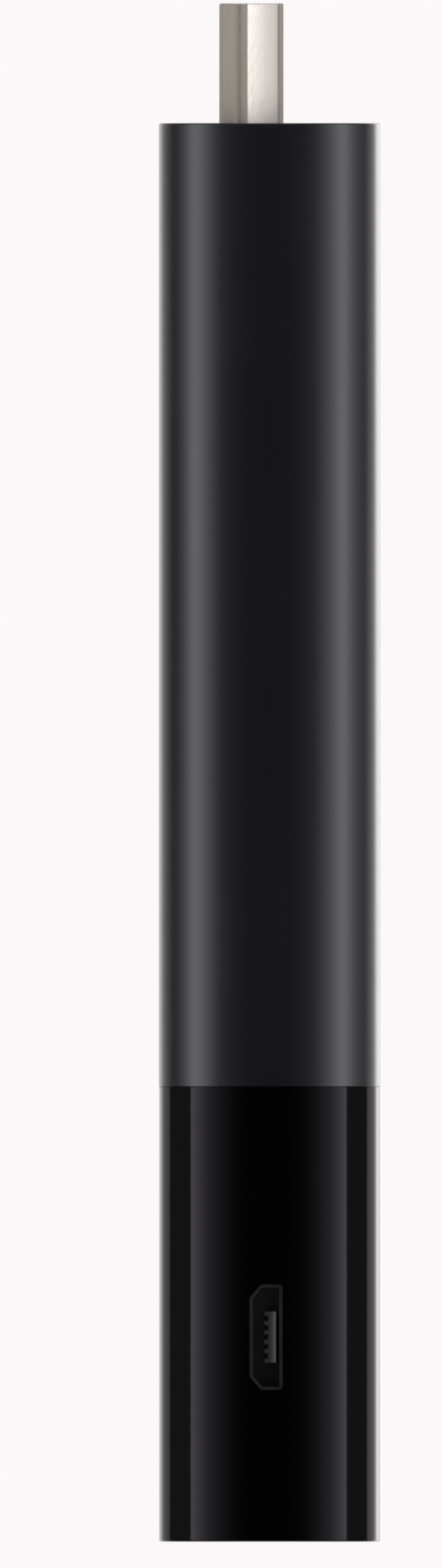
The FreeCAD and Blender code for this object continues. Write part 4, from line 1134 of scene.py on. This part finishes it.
def build_tent(stage):
    """A round screen that only reflections see: a soft box and a dark flag at both sides, pale behind."""
    bm = bmesh.new()
    radius = stage.tent_radius
    bmesh.ops.create_cone(
        bm, cap_ends=False, segments=180, radius1=radius, radius2=radius, depth=5 * radius
    )
    tent = plain_object(bm, "reflection_screen")
    material, tree, out = bare_material("screen_gradient")
    place = node(tree, "SeparateXYZ", {"Vector": node(tree, "TexCoord").outputs["Object"]}).outputs
    turn = math_node(tree, "ARCTAN2", place["Y"], place["X"])
    turned = node(tree, "ValToRGB", {"Fac": ramp(tree, turn, -math.pi, math.pi)})
    set_stops(turned.color_ramp, stage.edge_light)
    off = math_node(tree, "ABSOLUTE", math_node(tree, "SUBTRACT", place["Z"], CAD_BOX[1].z / 2))
    level = ramp(tree, off, *SCREEN_FADE, BRIGHTEST, BRIGHTEST / 5)
    glow = node(tree, "Emission", {"Color": turned.outputs["Color"], "Strength": level})
    tree.links.new(glow.outputs[0], out.inputs["Surface"])
    tent.data.materials.append(material)
    set_visibility(tent, "glossy")
    lit_pieces(tent, PLUG_PIECES, leave_out=True)


def area_lamp(name, place, target, size, level, color=(1, 1, 1), glossy=False):
    """A soft lamp of a width and height in metres, turned to a point, as bright as a surface at a level."""
    lamp = bpy.data.lights.new(name, "AREA")
    lamp.shape = "RECTANGLE"
    lamp.size, lamp.size_y = size
    lamp.energy = level * math.pi * size[0] * size[1]
    lamp.color = color
    made = linked(name, lamp)
    made.location = place
    made.rotation_euler = (Vector(target) - Vector(place)).to_track_quat("-Z", "Y").to_euler()
    set_visibility(made, "diffuse", "transmission", "shadow", *(("glossy",) if glossy else ()))
    return made


# Square lamps that light the whole stick and that no reflection shows: place, width and level
LAMPS = {
    "key_lamp": ((0.34, -0.30, 0.42), 0.30, 8.5),
    "fill_lamp": ((0.34, 0.34, 0.20), 0.34, 3.6),
    "back_lamp": ((-0.36, 0.12, 0.36), 0.30, 4.2),
}
LAMP_TARGET = (0, 0, 0.055)

# Soft upright strips that light a few pieces only: from and to an angle in degrees from the side of the
# port, positive towards the back, then level and colour. The plug has its own in place of the screen,
# because it stands free of the flags. The sleeve has more beside the screen, because its bands are broader
# and rise faster
PLUG_PIECES = ("plug_steel_shell", "plug_insulator_block", "plug_wide_row", "plug_narrow_row")
SLEEVE_PIECES = ("sleeve_shell",)
WARM, COOL = (1.0, 0.97, 0.93), (1.0, 1.01, 1.04)
PLUG_STRIPS_AWAY, SLEEVE_STRIPS_AWAY, STRIP_STEP = 0.25, 0.5, 0.01
PLUG_STRIPS = {
    "plug_bright_strip": (-24, -3, 2.15, COOL),
    "plug_pale_strip": (-3, 27, 0.83, COOL),
    "plug_left_strip": (-66, -30, 0.452, WARM),
    "plug_left_fill": (-168, -66, 0.46, WARM),
    "plug_right_fill": (40, 140, 0.49, WARM),
    "plug_back_fill": (150, 205, 0.60, WARM),
}
SLEEVE_STRIPS = {
    "sleeve_front_edge": (-170, -146, 0.20, COOL),
    "sleeve_front_wide": (-108, -57, 0.23, COOL),
    "sleeve_front_middle": (-99, -64, 0.26, COOL),
    "sleeve_front_narrow": (-95, -72, 0.34, COOL),
    "sleeve_back_wide": (53, 113, 0.24, COOL),
    "sleeve_back_middle": (63, 101, 0.25, COOL),
    "sleeve_back_narrow": (72, 94, 0.42, COOL),
    "sleeve_back_edge": (142, 168, 0.55, COOL),
}


def build_strips(strips, pieces, middle, away, nearer=0.0):
    """Upright soft strips round a point, seen by some pieces only. Each stands nearer than the last by a
    step, because the second of two that lie in one plane has no effect."""
    for name, (first, last, level, color) in strips.items():
        away -= nearer
        turn, half = math.radians((first + last) / 2), math.radians((last - first) / 2)
        place = middle + away * Vector((math.cos(turn), math.sin(turn), 0))
        size = (2 * away * math.tan(half), 2 * away)
        lit_pieces(area_lamp(name, place, middle, size, level, color, glossy=True), pieces)


CAMERA_AWAY = 0.5


def build_camera(context, stage):
    """A camera square on to the side of the port, without perspective, as the stick is pictured."""
    camera = linked("camera", bpy.data.cameras.new("camera"))
    middle = (CAD_BOX[0].z + CAD_BOX[1].z) / 2
    camera.location = (CAMERA_AWAY, stage.view_side, middle)
    camera.rotation_euler = (math.pi / 2, 0, math.pi / 2)
    camera.data.type = "ORTHO"
    camera.data.ortho_scale = stage.view_height
    camera.data.shift_y = (stage.view_middle - middle) / stage.view_height
    camera.data.clip_start, camera.data.clip_end = 0.01, 10
    context.scene.camera = camera


class StickStage(bpy.types.Operator):
    """Pale floor and world, soft lamps, reflection screen and camera"""

    bl_idname = "stick.stage"
    bl_label = "Stage"

    def execute(self, context):
        stage = context.scene.stick_stage
        context.scene.view_settings.view_transform = "Standard"
        build_world(context, stage)
        build_floor(stage)
        build_tent(stage)
        for name, (place, width, level) in LAMPS.items():
            area_lamp(name, place, LAMP_TARGET, (width, width), level)
        plug_tip = Vector((0, plug_middle(), PLUG_BOX[1].z))
        build_strips(PLUG_STRIPS, PLUG_PIECES, plug_tip, PLUG_STRIPS_AWAY)
        sleeve_foot = Vector((0, 0, SLEEVE_BOX[0].z))
        build_strips(SLEEVE_STRIPS, SLEEVE_PIECES, sleeve_foot, SLEEVE_STRIPS_AWAY, STRIP_STEP)
        build_camera(context, stage)
        return {"FINISHED"}


class StickPanel(bpy.types.Panel):
    """Lists the stick's pieces and settings"""

    bl_idname = "VIEW3D_PT_stick"
    bl_label = "Streaming stick"
    bl_space_type = "VIEW_3D"
    bl_region_type = "UI"
    bl_category = "Stick"

    def draw(self, context):
        for operator in OPERATORS:
            self.layout.operator(operator.bl_idname)
        for name in SETTINGS:
            box = self.layout.box()
            settings = getattr(context.scene, name)
            for key in settings.bl_rna.properties.keys():
                if key not in ("rna_type", "name"):
                    box.prop(settings, key)


SETTINGS = {
    "stick_housing": StickHousingSettings,
    "stick_plug": StickPlugSettings,
    "stick_port": StickPortSettings,
    "stick_finish": StickFinishSettings,
    "stick_stage": StickStageSettings,
}
OPERATORS = (
    StickSleeve, StickCap, StickLightGuide, StickPlugShell, StickPlugInside, StickPort, StickInside,
    StickStage,
)
CLASSES = (*SETTINGS.values(), *OPERATORS, StickPanel)


def register():
    for cls in CLASSES:
        bpy.utils.register_class(cls)
    for name, cls in SETTINGS.items():
        setattr(bpy.types.Scene, name, PointerProperty(type=cls))


def unregister():
    for name in SETTINGS:
        delattr(bpy.types.Scene, name)
    for cls in reversed(CLASSES):
        bpy.utils.unregister_class(cls)


def main():
    register()
    bpy.ops.stick.sleeve()
    bpy.ops.stick.cap()
    bpy.ops.stick.light_guide()
    bpy.ops.stick.plug_shell()
    bpy.ops.stick.plug_inside()
    bpy.ops.stick.port()
    bpy.ops.stick.inside()
    bpy.ops.stick.stage()


if __name__ == "__main__":
    main()
